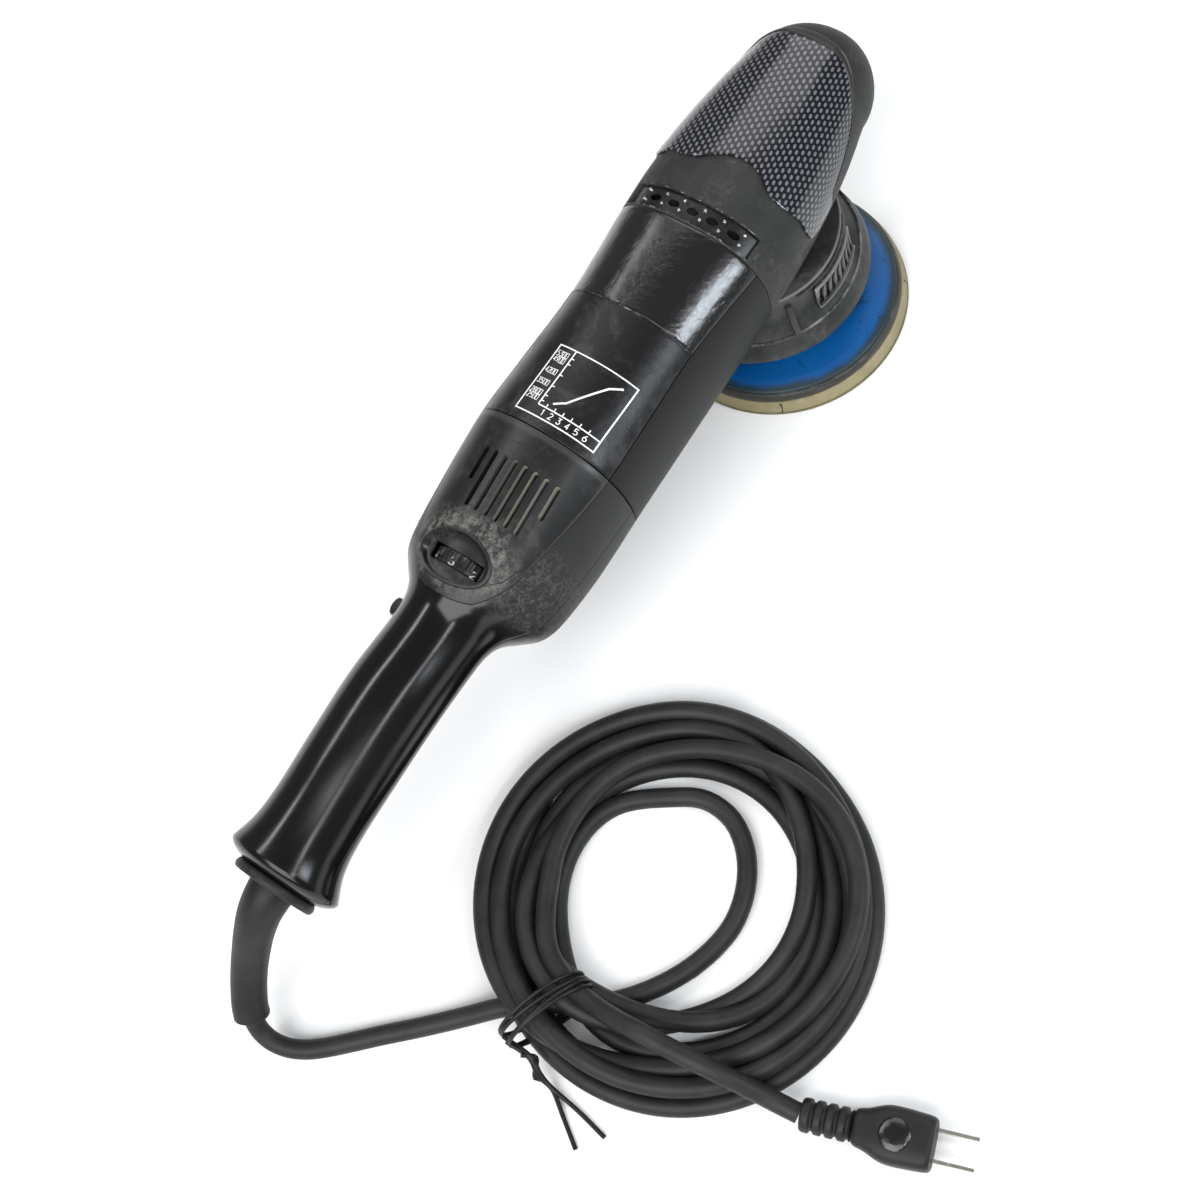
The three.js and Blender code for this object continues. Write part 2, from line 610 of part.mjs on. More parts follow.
add('field_stator', fieldStator(), FINISH.laminate);
add('field_winding_upper', fieldWinding(1), FINISH.copper);
add('field_winding_lower', fieldWinding(-1), FINISH.copper);
add('armature_shaft', armatureShaft(), FINISH.steel);
add('armature_core', onShaft(19.4, -126, -76, 28), FINISH.laminate);
add('armature_winding_front', onShaft(16.5, -75.7, -64, 20), FINISH.copper);
add('armature_winding_rear', onShaft(16.5, -133, -126.3, 20), FINISH.copper);
add('commutator', onShaft(COMMUTATOR_RADIUS, -148, -133.3, 20), FINISH.copper);
add('cooling_fan', coolingFan(), FINISH.nylon);
add('front_bearing', onShaft(BEARING_RADIUS, -33.6, -26.6), FINISH.steel);
add('rear_bearing', onShaft(BRACKET.bore, BRACKET.rear, BRACKET.front), FINISH.steel);
add('bearing_bracket', bearingBracket(), FINISH.aluminium);
[['left', 1], ['right', -1]].forEach(([name, side]) => {
  add(`brush_holder_${name}`, brushHolder(side), FINISH.brass);
  add(`carbon_brush_${name}`, carbonBrush(side), FINISH.carbon);
});

// ---------------------------------------------------------------- bevel gears

const PINION = { teeth: 9, radius: 5.5 };
const CROWN = { teeth: 36, radius: 22 };
const TIP = 0.8; // tooth height above the pitch cone, at the outer end
const ROOT = 1.15; // tooth depth below it

// Corners of a toothed wheel about its axis: a tooth is centred on the angle `first`.
function toothedRing(teeth, rootRadius, tipRadius, rootHalf, tipHalf, first) {
  const pitch = (2 * Math.PI) / teeth;
  return Array.from({ length: teeth }, (_, i) => {
    const middle = first + i * pitch;
    return [[-rootHalf, rootRadius], [-tipHalf, tipRadius], [tipHalf, tipRadius],
      [rootHalf, rootRadius]].map(([turn, radius]) => [middle + turn * pitch, radius]);
  }).flat();
}

// Both gears taper towards the point where their axes cross.
function pinion() {
  const ring = toothedRing(PINION.teeth, PINION.radius - ROOT, PINION.radius + TIP, 0.34, 0.13,
    -Math.PI / 2);
  const at = (distance) => ring.map(([angle, radius]) => {
    const scale = distance / CROWN.radius;
    return new THREE.Vector3(-distance, radius * scale * Math.cos(angle),
      MOTOR_Z + radius * scale * Math.sin(angle));
  });
  return loft([at(23.6), at(15.6)]).subtract(tubeX(0, PINION_SEAT + GAP, -FAR, FAR, 0, MOTOR_Z, 12));
}

function crownGear() {
  const height = CROWN.radius * PINION.radius;
  const tip = height / (PINION.radius - TIP);
  const root = height / (PINION.radius + ROOT);
  const ring = toothedRing(CROWN.teeth, root, tip, 0.34, 0.13, Math.PI + Math.PI / CROWN.teeth);
  const at = (scale) => ring.map(([angle, radius]) => new THREE.Vector3(
    radius * scale * Math.cos(angle),
    radius * scale * Math.sin(angle),
    MOTOR_Z - PINION.radius * scale,
  ));
  const cone = loft([at(1.6), at(0.66)]).intersect(tubeZ(0, 24, 60, 90, 0, 0, ROUND_SIDES));
  const disc = tubeZ(0, 24, 69.4, MOTOR_Z - PINION.radius * 1.6 + 0.5, 0, 0, ROUND_SIDES);
  return cone.add(disc).subtract(tubeZ(0, SHAFT_RADIUS + GAP, 60, 90));
}

add('bevel_pinion', pinion(), FINISH.steel);
add('crown_gear', crownGear(), FINISH.steel);

// ---------------------------------------------------------------- spindle, eccentric and plate

const HUB = { radius: 15.5, low: 27, high: 44, bore: 40 };

function spindleShaft() {
  const hub = tubeZ(0, HUB.radius, HUB.low, HUB.high, 0, PLATE_Y);
  const bore = tubeZ(0, BEARING_RADIUS + GAP, HUB.low - 1, HUB.bore, 0, PLATE_Y);
  return hub.subtract(bore).add(tubeZ(0, SHAFT_RADIUS, HUB.high - 1, 97, 0, 0, 24));
}

function counterweight() {
  const disc = tubeZ(0, 38, 31, 43, 0, 0, ROUND_SIDES);
  const heavySide = block([-FAR, FAR], [4, FAR], [-FAR, FAR]);
  const hubRoom = tubeZ(0, HUB.radius + GAP, 20, 50, 0, PLATE_Y);
  return disc.intersect(heavySide).subtract(hubRoom);
}

const plateLayer = (profile, sides) => turned(profile, sides).translate(0, PLATE_Y, 0);

add('spindle_shaft', spindleShaft(), FINISH.steel);
add('counterweight', counterweight(), FINISH.steel);
add('spindle_bearing_upper', tubeZ(SHAFT_RADIUS + GAP, BEARING_RADIUS, 90.3, 97.2), FINISH.steel);
add('spindle_bearing_lower', tubeZ(SHAFT_RADIUS + GAP, BEARING_RADIUS, 55, 62), FINISH.steel);
add('plate_bearing', tubeZ(SHAFT_RADIUS + GAP, BEARING_RADIUS, 28.5, 38, 0, PLATE_Y), FINISH.steel);

add('backing_plate', plateLayer([
  [0, 13.9], [57.4, 13.9], [58.2, 14.6], [52, 17], [15, 21.6],
  [12, 26], [4.3, 26], [4.3, 16], [0, 16],
]), FINISH.blue);
add('plate_rim', plateLayer([
  [0, 9.3], [60.2, 9.3], [59.2, 12.8], [58.2, 13.6], [0, 13.6],
]), FINISH.rimGrey);
add('foam_layer', plateLayer([[0, 2], [62.3, 2], [61.8, 5], [60.4, 9], [0, 9]]), FINISH.foam);
add('hook_layer', plateLayer([[0, 0], [PLATE_RADIUS, 0], [PLATE_RADIUS, 1.7], [0, 1.7]]), FINISH.hook);
add('plate_bolt', plateLayer([
  [0, 16.3], [SHAFT_RADIUS, 16.3], [SHAFT_RADIUS, 38.3], [6.4, 38.3], [6.4, 39.6], [0, 39.6],
], 16), FINISH.steel);

// ---------------------------------------------------------------- mains lead

function round(radius, sides) {
  const corners = Array.from({ length: sides }, (_, i) => {
    const angle = (2 * Math.PI * i) / sides;
    return new THREE.Vector2(radius * Math.cos(angle), radius * Math.sin(angle));
  });
  return new THREE.Shape(corners);
}

const curveThrough = (points) => (
  new THREE.CatmullRomCurve3(points.map((p) => new THREE.Vector3(...p)), false, 'centripetal'));

function tubeAlong(points, radius, steps, sides = 8) {
  const options = { steps, bevelEnabled: false, extrudePath: curveThrough(points) };
  return new THREE.ExtrudeGeometry(round(radius, sides), options);
}

// A tapering rubber sleeve through points, one radius for each.
function sleeve(points, radii, steps, sides = 12) {
  const path = curveThrough(points);
  const sizes = new THREE.CatmullRomCurve3(radii.map((r, i) => new THREE.Vector3(i, r, 0)));
  const frames = path.computeFrenetFrames(steps, false);
  const rings = Array.from({ length: steps + 1 }, (_, i) => {
    const centre = path.getPointAt(i / steps);
    const radius = sizes.getPoint(i / steps).y;
    return Array.from({ length: sides }, (_unused, j) => {
      const angle = (2 * Math.PI * j) / sides;
      return centre.clone()
        .addScaledVector(frames.normals[i], radius * Math.cos(angle))
        .addScaledVector(frames.binormals[i], radius * Math.sin(angle));
    });
  });
  return loft(rings);
}

const BOOT_ROUTE = [[-371.5, 0, 76], [-378.5, 0.3, 75.4], [-387.5, 1.8, 70], [-396.5, 3.4, 60.5],
  [-405, 4.4, 50], [-413.5, 4.4, 40], [-421.5, 3.2, 30.8], [-427.4, 1.2, 24.6], [-430.8, -0.8, 20.8]];
const BOOT_RADII = [10.8, 10.8, 10, 9.2, 8.7, 8.4, 8.3, 8.3, 8.4];

// From the boot, down to the bench, under the coil, round inside it and into its turns.
const LEAD_ROUTE = [[-431.8, -1.7, 19.4], [-434.4, -5.2, 14.8], [-435.6, -11, 10.4], [-433.9, -19, 7.1],
  [-428.6, -28, 5.3], [-419.5, -38, 4.7], [-405.5, -52, 4.7], [-391.5, -66.5, 4.7], [-377, -81, 5.6],
  [-363, -95.5, 9], [-351.4, -110.5, 10.4], [-344, -123, 9.6], [-335.5, -134, 6.8], [-324, -144, 4.9],
  [-309, -153.5, 4.7], [-294, -159.5, 4.7], [-277, -162, 4.7], [-260, -158, 4.7], [-246, -149, 4.7],
  [-236.5, -135.5, 4.7], [-235, -120, 4.8], [-240.5, -107, 5.4]];

// From the coil, through the tie, across the other turns and down to the plug.
const TAIL_ROUTE = [[-326.5, -88, 16], [-334, -103, 18], [-338, -117, 17.6], [-339.5, -129, 18.6],
  [-339.6, -143, 23], [-338.4, -158, 27.6], [-337, -172, 27.6], [-335.2, -186, 26], [-333, -200, 21.6],
  [-331, -212.5, 15], [-329.6, -223, 10.6], [-328.35, -232, 9.2]];

const TIE = { halfWidth: 23.2, halfHeight: 14.4, thick: 1.6, width: 8, z: 14.7 };

// A slab across the turns at the tie, with an elliptical outline.
function tieSlab(grow, width) {
  const rim = arc(0, 0, TIE.halfWidth + grow, TIE.halfHeight + grow, 0, 342, 19);
  const outline = new THREE.Shape(rim.map(([x, y]) => new THREE.Vector2(x, y)));
  return solid(new THREE.ExtrudeGeometry(outline, { depth: width, bevelEnabled: false })
    .translate(0, 0, -width / 2)
    .rotateX(Math.PI / 2)
    .translate(COIL.radius, 0, TIE.z)
    .rotateZ(TIE_TURN)
    .translate(COIL.x, COIL.y, 0));
}

const tieBand = () => tieSlab(0, TIE.width).subtract(tieSlab(-TIE.thick, TIE.width + 2));

// The coil is pinched to fit inside the band.
function tieRoom() {
  const width = TIE.width + 2 * GAP;
  return tieSlab(12, width).subtract(tieSlab(-TIE.thick - GAP, width + 2));
}

function cordCoil() {
  const section = arc(COIL.radius, COIL.halfHeight, COIL.halfWidth, COIL.halfHeight, 0, 360, 10);
  const torus = solid(turned(section, 30).translate(COIL.x, COIL.y, 0));
  const room = CORD_RADIUS + GAP + 0.15;
  return torus.subtract(solid(tubeAlong(LEAD_ROUTE.slice(0, -2), room, 46)))
    .subtract(solid(tubeAlong(TAIL_ROUTE, room, 26)))
    .subtract(tieRoom());
}

function onPlug(geometry) {
  return geometry.rotateZ(PLUG.turn).translate(PLUG.x, PLUG.y, PLUG.z);
}

function plugRelief() {
  const cone = [[0, GAP], [7, GAP]];
  for (let rib = 0; rib < 4; rib += 1) {
    const from = 0.8 + rib * 5.2;
    cone.push([7.5, from + 3.4], [5.8, from + 4.3]);
  }
  cone.push([7, 22], [0, 22]);
  return onPlug(turned(cone, 14).rotateY(Math.PI / 2));
}

function plugBody() {
  const outline = new THREE.Shape();
  outline.moveTo(22.4, -8);
  outline.bezierCurveTo(30, -8.5, 30, -12.4, 38, -12.4);
  outline.lineTo(57, -11.6);
  outline.lineTo(57, 11.6);
  outline.lineTo(38, 12.4);
  outline.bezierCurveTo(30, 12.4, 30, 8.5, 22.4, 8);
  const bulk = new THREE.ExtrudeGeometry(outline, {
    depth: 14, bevelEnabled: true, bevelThickness: 2, bevelSize: 2, bevelOffset: -2,
    bevelSegments: 2, curveSegments: 6,
  });
  return onPlug(bulk.translate(0, 0, -7));
}

function plugBlade(side) {
  const blade = new THREE.BoxGeometry(17.5, 1.5, 6.3).translate(57.3 + 17.5 / 2, side * 6.35, 0);
  return onPlug(blade);
}

add('cord_boot', sleeve(BOOT_ROUTE, BOOT_RADII, 11), FINISH.cordRubber);
add('cord_lead', tubeAlong(LEAD_ROUTE, CORD_RADIUS, 40), FINISH.cordRubber);
add('cord_coil', cordCoil(), FINISH.cordRubber);
add('cord_tail', tubeAlong(TAIL_ROUTE, CORD_RADIUS, 20), FINISH.cordRubber);
add('cord_tie', tieBand(), FINISH.tieBlack);
add('plug_relief', plugRelief(), FINISH.cordRubber);
add('plug_body', plugBody(), FINISH.cordRubber);
add('plug_blade_left', plugBlade(1), FINISH.nickel);
add('plug_blade_right', plugBlade(-1), FINISH.nickel);

export default polisher;
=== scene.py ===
import math

import bmesh
import bpy
import numpy as np
from mathutils import Matrix, Vector


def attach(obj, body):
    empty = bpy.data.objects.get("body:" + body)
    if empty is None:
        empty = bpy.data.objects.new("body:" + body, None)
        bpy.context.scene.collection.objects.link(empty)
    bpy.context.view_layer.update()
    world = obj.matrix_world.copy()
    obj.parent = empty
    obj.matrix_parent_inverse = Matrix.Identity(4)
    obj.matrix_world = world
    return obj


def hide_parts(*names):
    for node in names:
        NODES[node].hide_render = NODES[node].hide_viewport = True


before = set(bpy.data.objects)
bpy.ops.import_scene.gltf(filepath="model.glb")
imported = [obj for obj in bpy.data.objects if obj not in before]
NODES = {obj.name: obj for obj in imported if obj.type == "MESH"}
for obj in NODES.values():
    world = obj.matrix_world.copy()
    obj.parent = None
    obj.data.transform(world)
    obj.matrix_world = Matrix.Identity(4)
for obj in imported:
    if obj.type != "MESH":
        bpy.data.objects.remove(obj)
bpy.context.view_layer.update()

ROOT = "housing"

# ---------------------------------------------------------------- driving dimensions, metres

# The outer skin from butt to nose: place along X, half width, top, bottom, superellipse power.
STATIONS = [
    (-0.367, 0.0280, 0.1025, 0.0485, 2.0),
    (-0.355, 0.0238, 0.1014, 0.0552, 2.0),
    (-0.340, 0.0222, 0.1022, 0.0590, 2.0),
    (-0.310, 0.0222, 0.1062, 0.0618, 2.0),
    (-0.280, 0.0224, 0.1086, 0.0638, 2.0),
    (-0.250, 0.0220, 0.1068, 0.0624, 2.0),
    (-0.240, 0.0226, 0.1074, 0.0606, 2.0),
    (-0.233, 0.0248, 0.1094, 0.0570, 2.1),
    (-0.227, 0.0300, 0.1116, 0.0510, 2.2),
    (-0.220, 0.0356, 0.1136, 0.0444, 2.25),
    (-0.210, 0.0382, 0.1160, 0.0400, 2.3),
    (-0.185, 0.0402, 0.1204, 0.0384, 2.3),
    (-0.168, 0.0408, 0.1232, 0.0396, 2.3),
    (-0.150, 0.0410, 0.1254, 0.0416, 2.3),
    (-0.120, 0.0404, 0.1246, 0.0422, 2.3),
    (-0.085, 0.0396, 0.1238, 0.0424, 2.3),
    (-0.060, 0.0402, 0.1246, 0.0460, 2.35),
    (-0.038, 0.0410, 0.1256, 0.0520, 2.4),
    (-0.010, 0.0414, 0.1262, 0.0570, 2.4),
    (0.015, 0.0394, 0.1266, 0.0605, 2.35),
    (0.040, 0.0356, 0.1268, 0.0640, 2.25),
    (0.060, 0.0314, 0.1262, 0.0690, 2.15),
]
HALF, TOP, BOTTOM, POWER = 1, 2, 3, 4

GAP = 0.0003
NOSE_START_X, NOSE_LENGTH = 0.060, 0.031
BUTT_START_X, BUTT_LENGTH = -0.367, 0.008
COVER_REAR_X = -0.0362
REAR_SEAM_X = -0.1512
PANEL_EDGE_Z = 0.107
PARTING_Z = 0.0805
COVER_BOTTOM_Z = 0.068
SKIN, PANEL = 0.0028, 0.0021
PLATE_Y = -0.0075
DIAL = Vector((-0.216, 0.001, 0.0985))
# The rear cap's round end, from above: where it starts, how far it reaches, its half width.
CAP_END_X, CAP_REACH, CAP_HALF = -0.200, 0.0325, 0.034

CORD_DIAMETER = 0.0092
COIL_CENTRE = Vector((-0.280, -0.1355, 0.0))
TIE_TURN = math.radians(164)
PLUG = Vector((-0.328, -0.233, 0.0092))
PLUG_TURN = math.atan2(-0.937, 0.35)

# ---------------------------------------------------------------- camera, floor and light


def link(name, data):
    """A new object in the scene."""
    obj = bpy.data.objects.new(name, data)
    bpy.context.scene.collection.objects.link(obj)
    return obj


def make_camera():
    data = bpy.data.cameras.new("camera")
    data.lens, data.sensor_width = 58.52, 36.0
    data.clip_start, data.clip_end = 0.05, 20.0
    right = Vector((0.559, -0.792, -0.246)).normalized()
    back = Vector((-0.171, -0.399, 0.901))
    back = (back - right * back.dot(right)).normalized()
    turn = Matrix((right, back.cross(right), back)).transposed().to_4x4()
    camera = link("camera", data)
    camera.matrix_world = Matrix.Translation((-0.3397, -0.3955, 0.8524)) @ turn
    bpy.context.scene.camera = camera


def area_light(name, place, target, size, power, colour=(1, 1, 1)):
    data = bpy.data.lights.new(name, "AREA")
    data.shape = "RECTANGLE"
    data.size, data.size_y = size
    data.energy, data.color = power, colour
    light = link(name, data)
    light.location = place
    light.rotation_euler = (Vector(target) - Vector(place)).to_track_quat("-Z", "Y").to_euler()


def make_studio():
    world = bpy.data.worlds.new("studio")
    world.use_nodes = True
    background = world.node_tree.nodes["Background"]
    background.inputs["Color"].default_value = (1.0, 1.0, 1.0, 1.0)
    background.inputs["Strength"].default_value = 0.26
    bpy.context.scene.world = world
    bpy.context.scene.view_settings.view_transform = "Standard"
    tool, panel, handle = (-0.15, -0.05, 0.05), (-0.06, -0.03, 0.11), (-0.30, 0, 0.1)
    area_light("fill", (-1.75, -0.45, 1.75), tool, (2.0, 2.0), 64)
    area_light("fill_nose", (1.5, 0.55, 1.6), tool, (1.8, 1.8), 20)
    area_light("panel_right", (0.17, -1.06, 0.72), panel, (0.11, 0.46), 6.0, (0.86, 0.93, 1.0))
    area_light("panel_left", (0.25, 0.78, 0.99), (-0.05, 0.01, 0.12), (0.07, 0.12), 0.45)
    area_light("handle_left", (-0.25, 0.91, 1.41), handle, (0.9, 0.11), 5.2)
    area_light("handle_right", (-0.32, -0.95, 1.25), handle, (0.9, 0.09), 3.6)

    mesh = bpy.data.meshes.new("floor")
    reach = 6.0
    corners = [(-reach, -reach, 0), (reach, -reach, 0), (reach, reach, 0), (-reach, reach, 0)]
    mesh.from_pydata(corners, [], [(0, 1, 2, 3)])
    floor = link("floor", mesh)
    floor.location.z = -0.0002
    material = bpy.data.materials.new("floor_white")
    material.use_nodes = True
    shader = material.node_tree.nodes["Principled BSDF"]
    shader.inputs["Base Color"].default_value = (0.93, 0.93, 0.93, 1)
    shader.inputs["Roughness"].default_value = 0.9
    mesh.materials.append(material)


# ---------------------------------------------------------------- materials


class Value:
    """A shader output that can be used in sums, which become Math nodes."""

    def __init__(self, recipe, socket):
        self.recipe, self.socket = recipe, socket

    def __add__(self, other):
        return self.recipe.math("ADD", self, other)

    def __sub__(self, other):
        return self.recipe.math("SUBTRACT", self, other)

    def __rsub__(self, other):
        return self.recipe.math("SUBTRACT", other, self)

    def __mul__(self, other):
        return self.recipe.math("MULTIPLY", self, other)

    def __truediv__(self, other):
        return self.recipe.math("DIVIDE", self, other)

    def __pow__(self, other):
        return self.recipe.math("POWER", self, other)

    def __abs__(self):
        return self.recipe.math("ABSOLUTE", self)


class Recipe:
    """A node material in metres, over object coordinates or a UV map."""

    def __init__(self, name, uv=None):
        self.material = bpy.data.materials.new(name)
        self.material.use_nodes = True
        self.nodes = self.material.node_tree.nodes
        self.links = self.material.node_tree.links
        self.shader = self.nodes["Principled BSDF"]
        self.place = self.node("UVMap", "UV", {}, uv_map=uv) if uv else self.node("TexCoord", "Object", {})
        self.height = None
        self.set(Specular_IOR_Level=0.3)

    def set(self, **values):
        """Sets the shader's own numbers; a name has _ for each space."""
        for name, value in values.items():
            self.shader.inputs[name.replace("_", " ")].default_value = value

    def feed(self, socket, value):
        """Gives a socket a number, a colour, a vector or another node's output."""
        if isinstance(value, Value):
            self.links.new(value.socket, socket)
        elif isinstance(value, tuple):
            socket.default_value = (*value, 1.0)
        else:
            socket.default_value = value

    def node(self, kind, output, inputs, **settings):
        """The output of a new node, once its settings and inputs are in place."""
        node = self.nodes.new("ShaderNode" + kind)
        for name, value in settings.items():
            setattr(node, name, value)
        for key, value in inputs.items():
            self.feed(node.inputs[key], value)
        return Value(self, node.outputs[output])

    def noise(self, scale, detail=4.0, rough=0.6, stretch=None, distortion=0.0):
        place = self.place
        if stretch:
            place = self.node("Mapping", "Vector", {"Scale": Vector(stretch), "Vector": place})
        return self.node("TexNoise", "Fac", {"Scale": scale, "Detail": detail, "Roughness": rough,
                                             "Distortion": distortion, "Vector": place})

    def cells(self, scale):
        return self.node("TexVoronoi", "Distance", {"Scale": scale, "Vector": self.place})

    def waves(self, scale, distortion):
        return self.node("TexWave", "Fac", {"Scale": scale, "Distortion": distortion, "Vector": self.place})

    def axis(self, letter, vector=None):
        return self.node("SeparateXYZ", letter, {0: vector or self.place})

    def ramp(self, value, low, high):
        """0 below low and 1 above high, eased."""
        return self.node("MapRange", "Result", {"Value": value, "From Min": low, "From Max": high},
                         interpolation_type="SMOOTHSTEP", clamp=True)

    def math(self, operation, a, b=0.0):
        return self.node("Math", 0, {0: a, 1: b}, operation=operation)

    def distance(self, x, y):
        return self.math("SQRT", x * x + y * y)

    def mix(self, factor, a, b):
        return self.node("Mix", 2, {"Factor": factor, 6: a, 7: b}, data_type="RGBA")

    def blend(self, factor, a, b):
        return self.node("Mix", 0, {"Factor": factor, 2: a, 3: b}, data_type="FLOAT")

    def edges(self, low=0.52, high=0.6):
        """Worn convex edges, from the mesh's pointiness."""
        return self.ramp(self.node("NewGeometry", "Pointiness", {}), low, high)

    def bump(self, height, strength, distance):
        inputs = {"Strength": strength, "Distance": distance, "Height": height}
        if self.height:
            inputs["Normal"] = self.height
        self.height = self.node("Bump", "Normal", inputs)
        self.feed(self.shader.inputs["Normal"], self.height)

    def done(self, colour, roughness, *bumps):
        """The material, given its colour, roughness and bumps of (height, strength, distance)."""
        self.feed(self.shader.inputs["Base Color"], colour)
        self.feed(self.shader.inputs["Roughness"], roughness)
        for bump in bumps:
            self.bump(*bump)
        return self.material


def tinted(colour, tint):
    return tuple(value * tint for value in colour)


def cover_rubber():
    r = Recipe("cover_rubber_worn")
    base = r.mix(r.ramp(r.noise(38, 5, 0.62), 0.3, 0.7), (0.013, 0.0134, 0.0134), (0.023, 0.0237, 0.0233))
    dust = r.ramp(r.noise(24, 6, 0.7), 0.46, 0.68) * r.ramp(r.noise(420, 3, 0.7), 0.35, 0.65)
    dusty = r.mix(dust, base, (0.085, 0.085, 0.077))
    return r.done(r.mix(r.edges(), dusty, (0.10, 0.10, 0.092)), r.blend(dust, 0.58, 0.85),
                  (r.noise(1600, 2, 0.5), 0.25, 0.0002))


def weave():
    """Light elongated dots in staggered rows under a clear coat."""
    r = Recipe("woven_panel", uv="skin")
    column = r.axis("X") / 0.0025
    shift = r.math("FLOORED_MODULO", r.math("FLOOR", column), 2.0) * 0.5
    across = r.math("FRACT", column) - 0.5
    along_x = r.math("FRACT", r.axis("Y") / 0.0036 + shift) - 0.5
    slanted = across + along_x * 0.22
    dot = 1.0 - r.ramp(abs(slanted * 3.5) ** 2.4 + abs(along_x * 3.1) ** 2.4, 0.7, 1.1)
    thread = r.mix(r.noise(900, 2, 0.5, (1.0, 5.0, 1.0)), (0.075, 0.078, 0.086), (0.19, 0.195, 0.21))
    ground = r.mix(r.noise(60, 3), (0.003, 0.0034, 0.006), (0.007, 0.008, 0.013))
    scuff = r.ramp(r.noise(75, 6, 0.75, (1.0, 0.4, 1.0)), 0.6, 0.78)
    r.set(Specular_IOR_Level=0.35, Coat_Weight=0.35, Coat_Roughness=0.1)
    return r.done(r.mix(dot, ground, thread), r.blend(scuff, 0.2, 0.5), (r.noise(140, 4, 0.6), 0.12, 0.0003))


def shroud_rubber():
    r = Recipe("shroud_rubber_worn")
    cloudy = r.ramp(r.noise(45, 6, 0.68, distortion=0.4), 0.32, 0.68)
    base = r.mix(cloudy, (0.008, 0.0085, 0.0085), (0.034, 0.035, 0.034))
    dust = r.ramp(r.noise(28, 7, 0.75), 0.48, 0.66)
    dusty = r.mix(dust * 0.6, base, (0.10, 0.103, 0.097))
    return r.done(r.mix(r.edges(0.51, 0.56), dusty, (0.26, 0.26, 0.24)), r.blend(dust, 0.42, 0.75),
                  (r.noise(300, 4, 0.65), 0.22, 0.0004))


def gloss_black(name="gloss_black_scuffed", scratches=0.6):
    r = Recipe(name)
    base = r.mix(r.noise(20, 4, 0.6), (0.0045, 0.0045, 0.005), (0.009, 0.009, 0.010))
    scuff = r.ramp(r.noise(55, 8, 0.8, (0.5, 1.0, 1.0)), 0.62, 0.8)
    fine = r.ramp(r.noise(700, 3, 0.7, (0.12, 1.0, 1.0)), 0.45, 0.7)
    r.set(Specular_IOR_Level=0.5, Coat_Weight=0.2, Coat_Roughness=0.15)
    return r.done(r.mix(scuff * scratches, base, (0.045, 0.046, 0.048)), r.blend(fine * 0.5, 0.16, 0.34),
                  (r.noise(55, 6, 0.7), 0.6, 0.0011))


def label_black():
    """The printed label over the rear of the motor panel, satin and scuffed."""
    r = Recipe("label_black_scuffed")
    base = r.mix(r.noise(30, 5), (0.005, 0.005, 0.0056), (0.010, 0.010, 0.0108))
    scuff = r.ramp(r.noise(40, 8, 0.8, distortion=0.8), 0.48, 0.72)
    return r.done(r.mix(scuff * 0.6, base, (0.065, 0.067, 0.071)), r.blend(scuff, 0.28, 0.6),
                  (r.noise(180, 6, 0.75), 0.4, 0.0005))


def satin_black(name, dust_amount):
    r = Recipe(name)
    base = r.mix(r.noise(34, 5), (0.0055, 0.006, 0.0065), (0.013, 0.0137, 0.0143))
    dust = r.ramp(r.noise(60, 8, 0.8), 0.5, 0.78) * dust_amount
    dusty = r.mix(dust, base, (0.10, 0.104, 0.10))
    return r.done(r.mix(r.edges(0.53, 0.62), dusty, (0.045, 0.045, 0.045)), r.blend(dust, 0.30, 0.7),
                  (r.noise(900, 3, 0.6), 0.12, 0.0002))


def cap_black():
    """Satin cap with polishing compound caked round the dial and on the walls of its slots."""
    r = Recipe("cap_black_dusty")
    x, y = r.axis("X"), r.axis("Y")
    base = r.mix(r.noise(34, 5), (0.0055, 0.006, 0.0065), (0.014, 0.0147, 0.0153))
    away = r.distance(x - (DIAL.x + 0.004), (y - DIAL.y) * 0.62)
    round_dial = 1.0 - r.ramp(away + r.noise(70, 5) * 0.012, 0.018, 0.028)
    caked = round_dial * (r.ramp(r.noise(260, 6, 0.8), 0.40, 0.66) * 0.85)
    dust = r.math("MAXIMUM", r.ramp(r.noise(50, 7, 0.8), 0.5, 0.8) * 0.3, caked)
    dusty = r.mix(r.edges(0.56, 0.68), r.mix(dust, base, (0.17, 0.167, 0.152)), (0.035, 0.035, 0.034))
    steep = 1.0 - r.ramp(abs(r.axis("Z", r.node("NewGeometry", "True Normal", {}))), 0.25, 0.5)
    inside = (1.0 - r.ramp(abs(y), 0.0255, 0.0265)) * r.ramp(x, -0.199, -0.197)
    walls = steep * inside * (1.0 - r.ramp(y, -0.012, 0.012))
    return r.done(r.mix(walls * 0.9, dusty, (0.30, 0.28, 0.235)), r.blend(dust, 0.33, 0.75),
                  (r.noise(900, 3, 0.6), 0.15, 0.0002))


def body_black():
    """Handle moulding: matte grey and dusty round the motor, polished by hands on the grip."""
    r = Recipe("handle_black_polished")
    x = r.axis("X")
    motor = r.ramp(x + r.noise(45, 5) * 0.02, -0.222, -0.200)
    band = r.ramp(x, -0.232, -0.218) * (1.0 - r.ramp(x, -0.205, -0.180))
    dust = band * r.ramp(r.noise(420, 6, 0.85), 0.44, 0.62)
    matte = r.mix(r.noise(40, 5), (0.0055, 0.0058, 0.0052), (0.0095, 0.0098, 0.0088))
    shiny = r.mix(r.noise(18, 4), (0.0016, 0.0016, 0.0018), (0.0034, 0.0034, 0.0034))
    smear = r.ramp(r.noise(26, 6, 0.7, (0.4, 1.0, 1.0)), 0.45, 0.7)
    r.set(Specular_IOR_Level=0.4)
    return r.done(r.mix(dust * 0.5, r.mix(motor, shiny, matte), (0.11, 0.113, 0.106)),
                  r.blend(motor, r.blend(smear, 0.16, 0.25), 0.52), (r.noise(1200, 3, 0.6), 0.07, 0.0002))


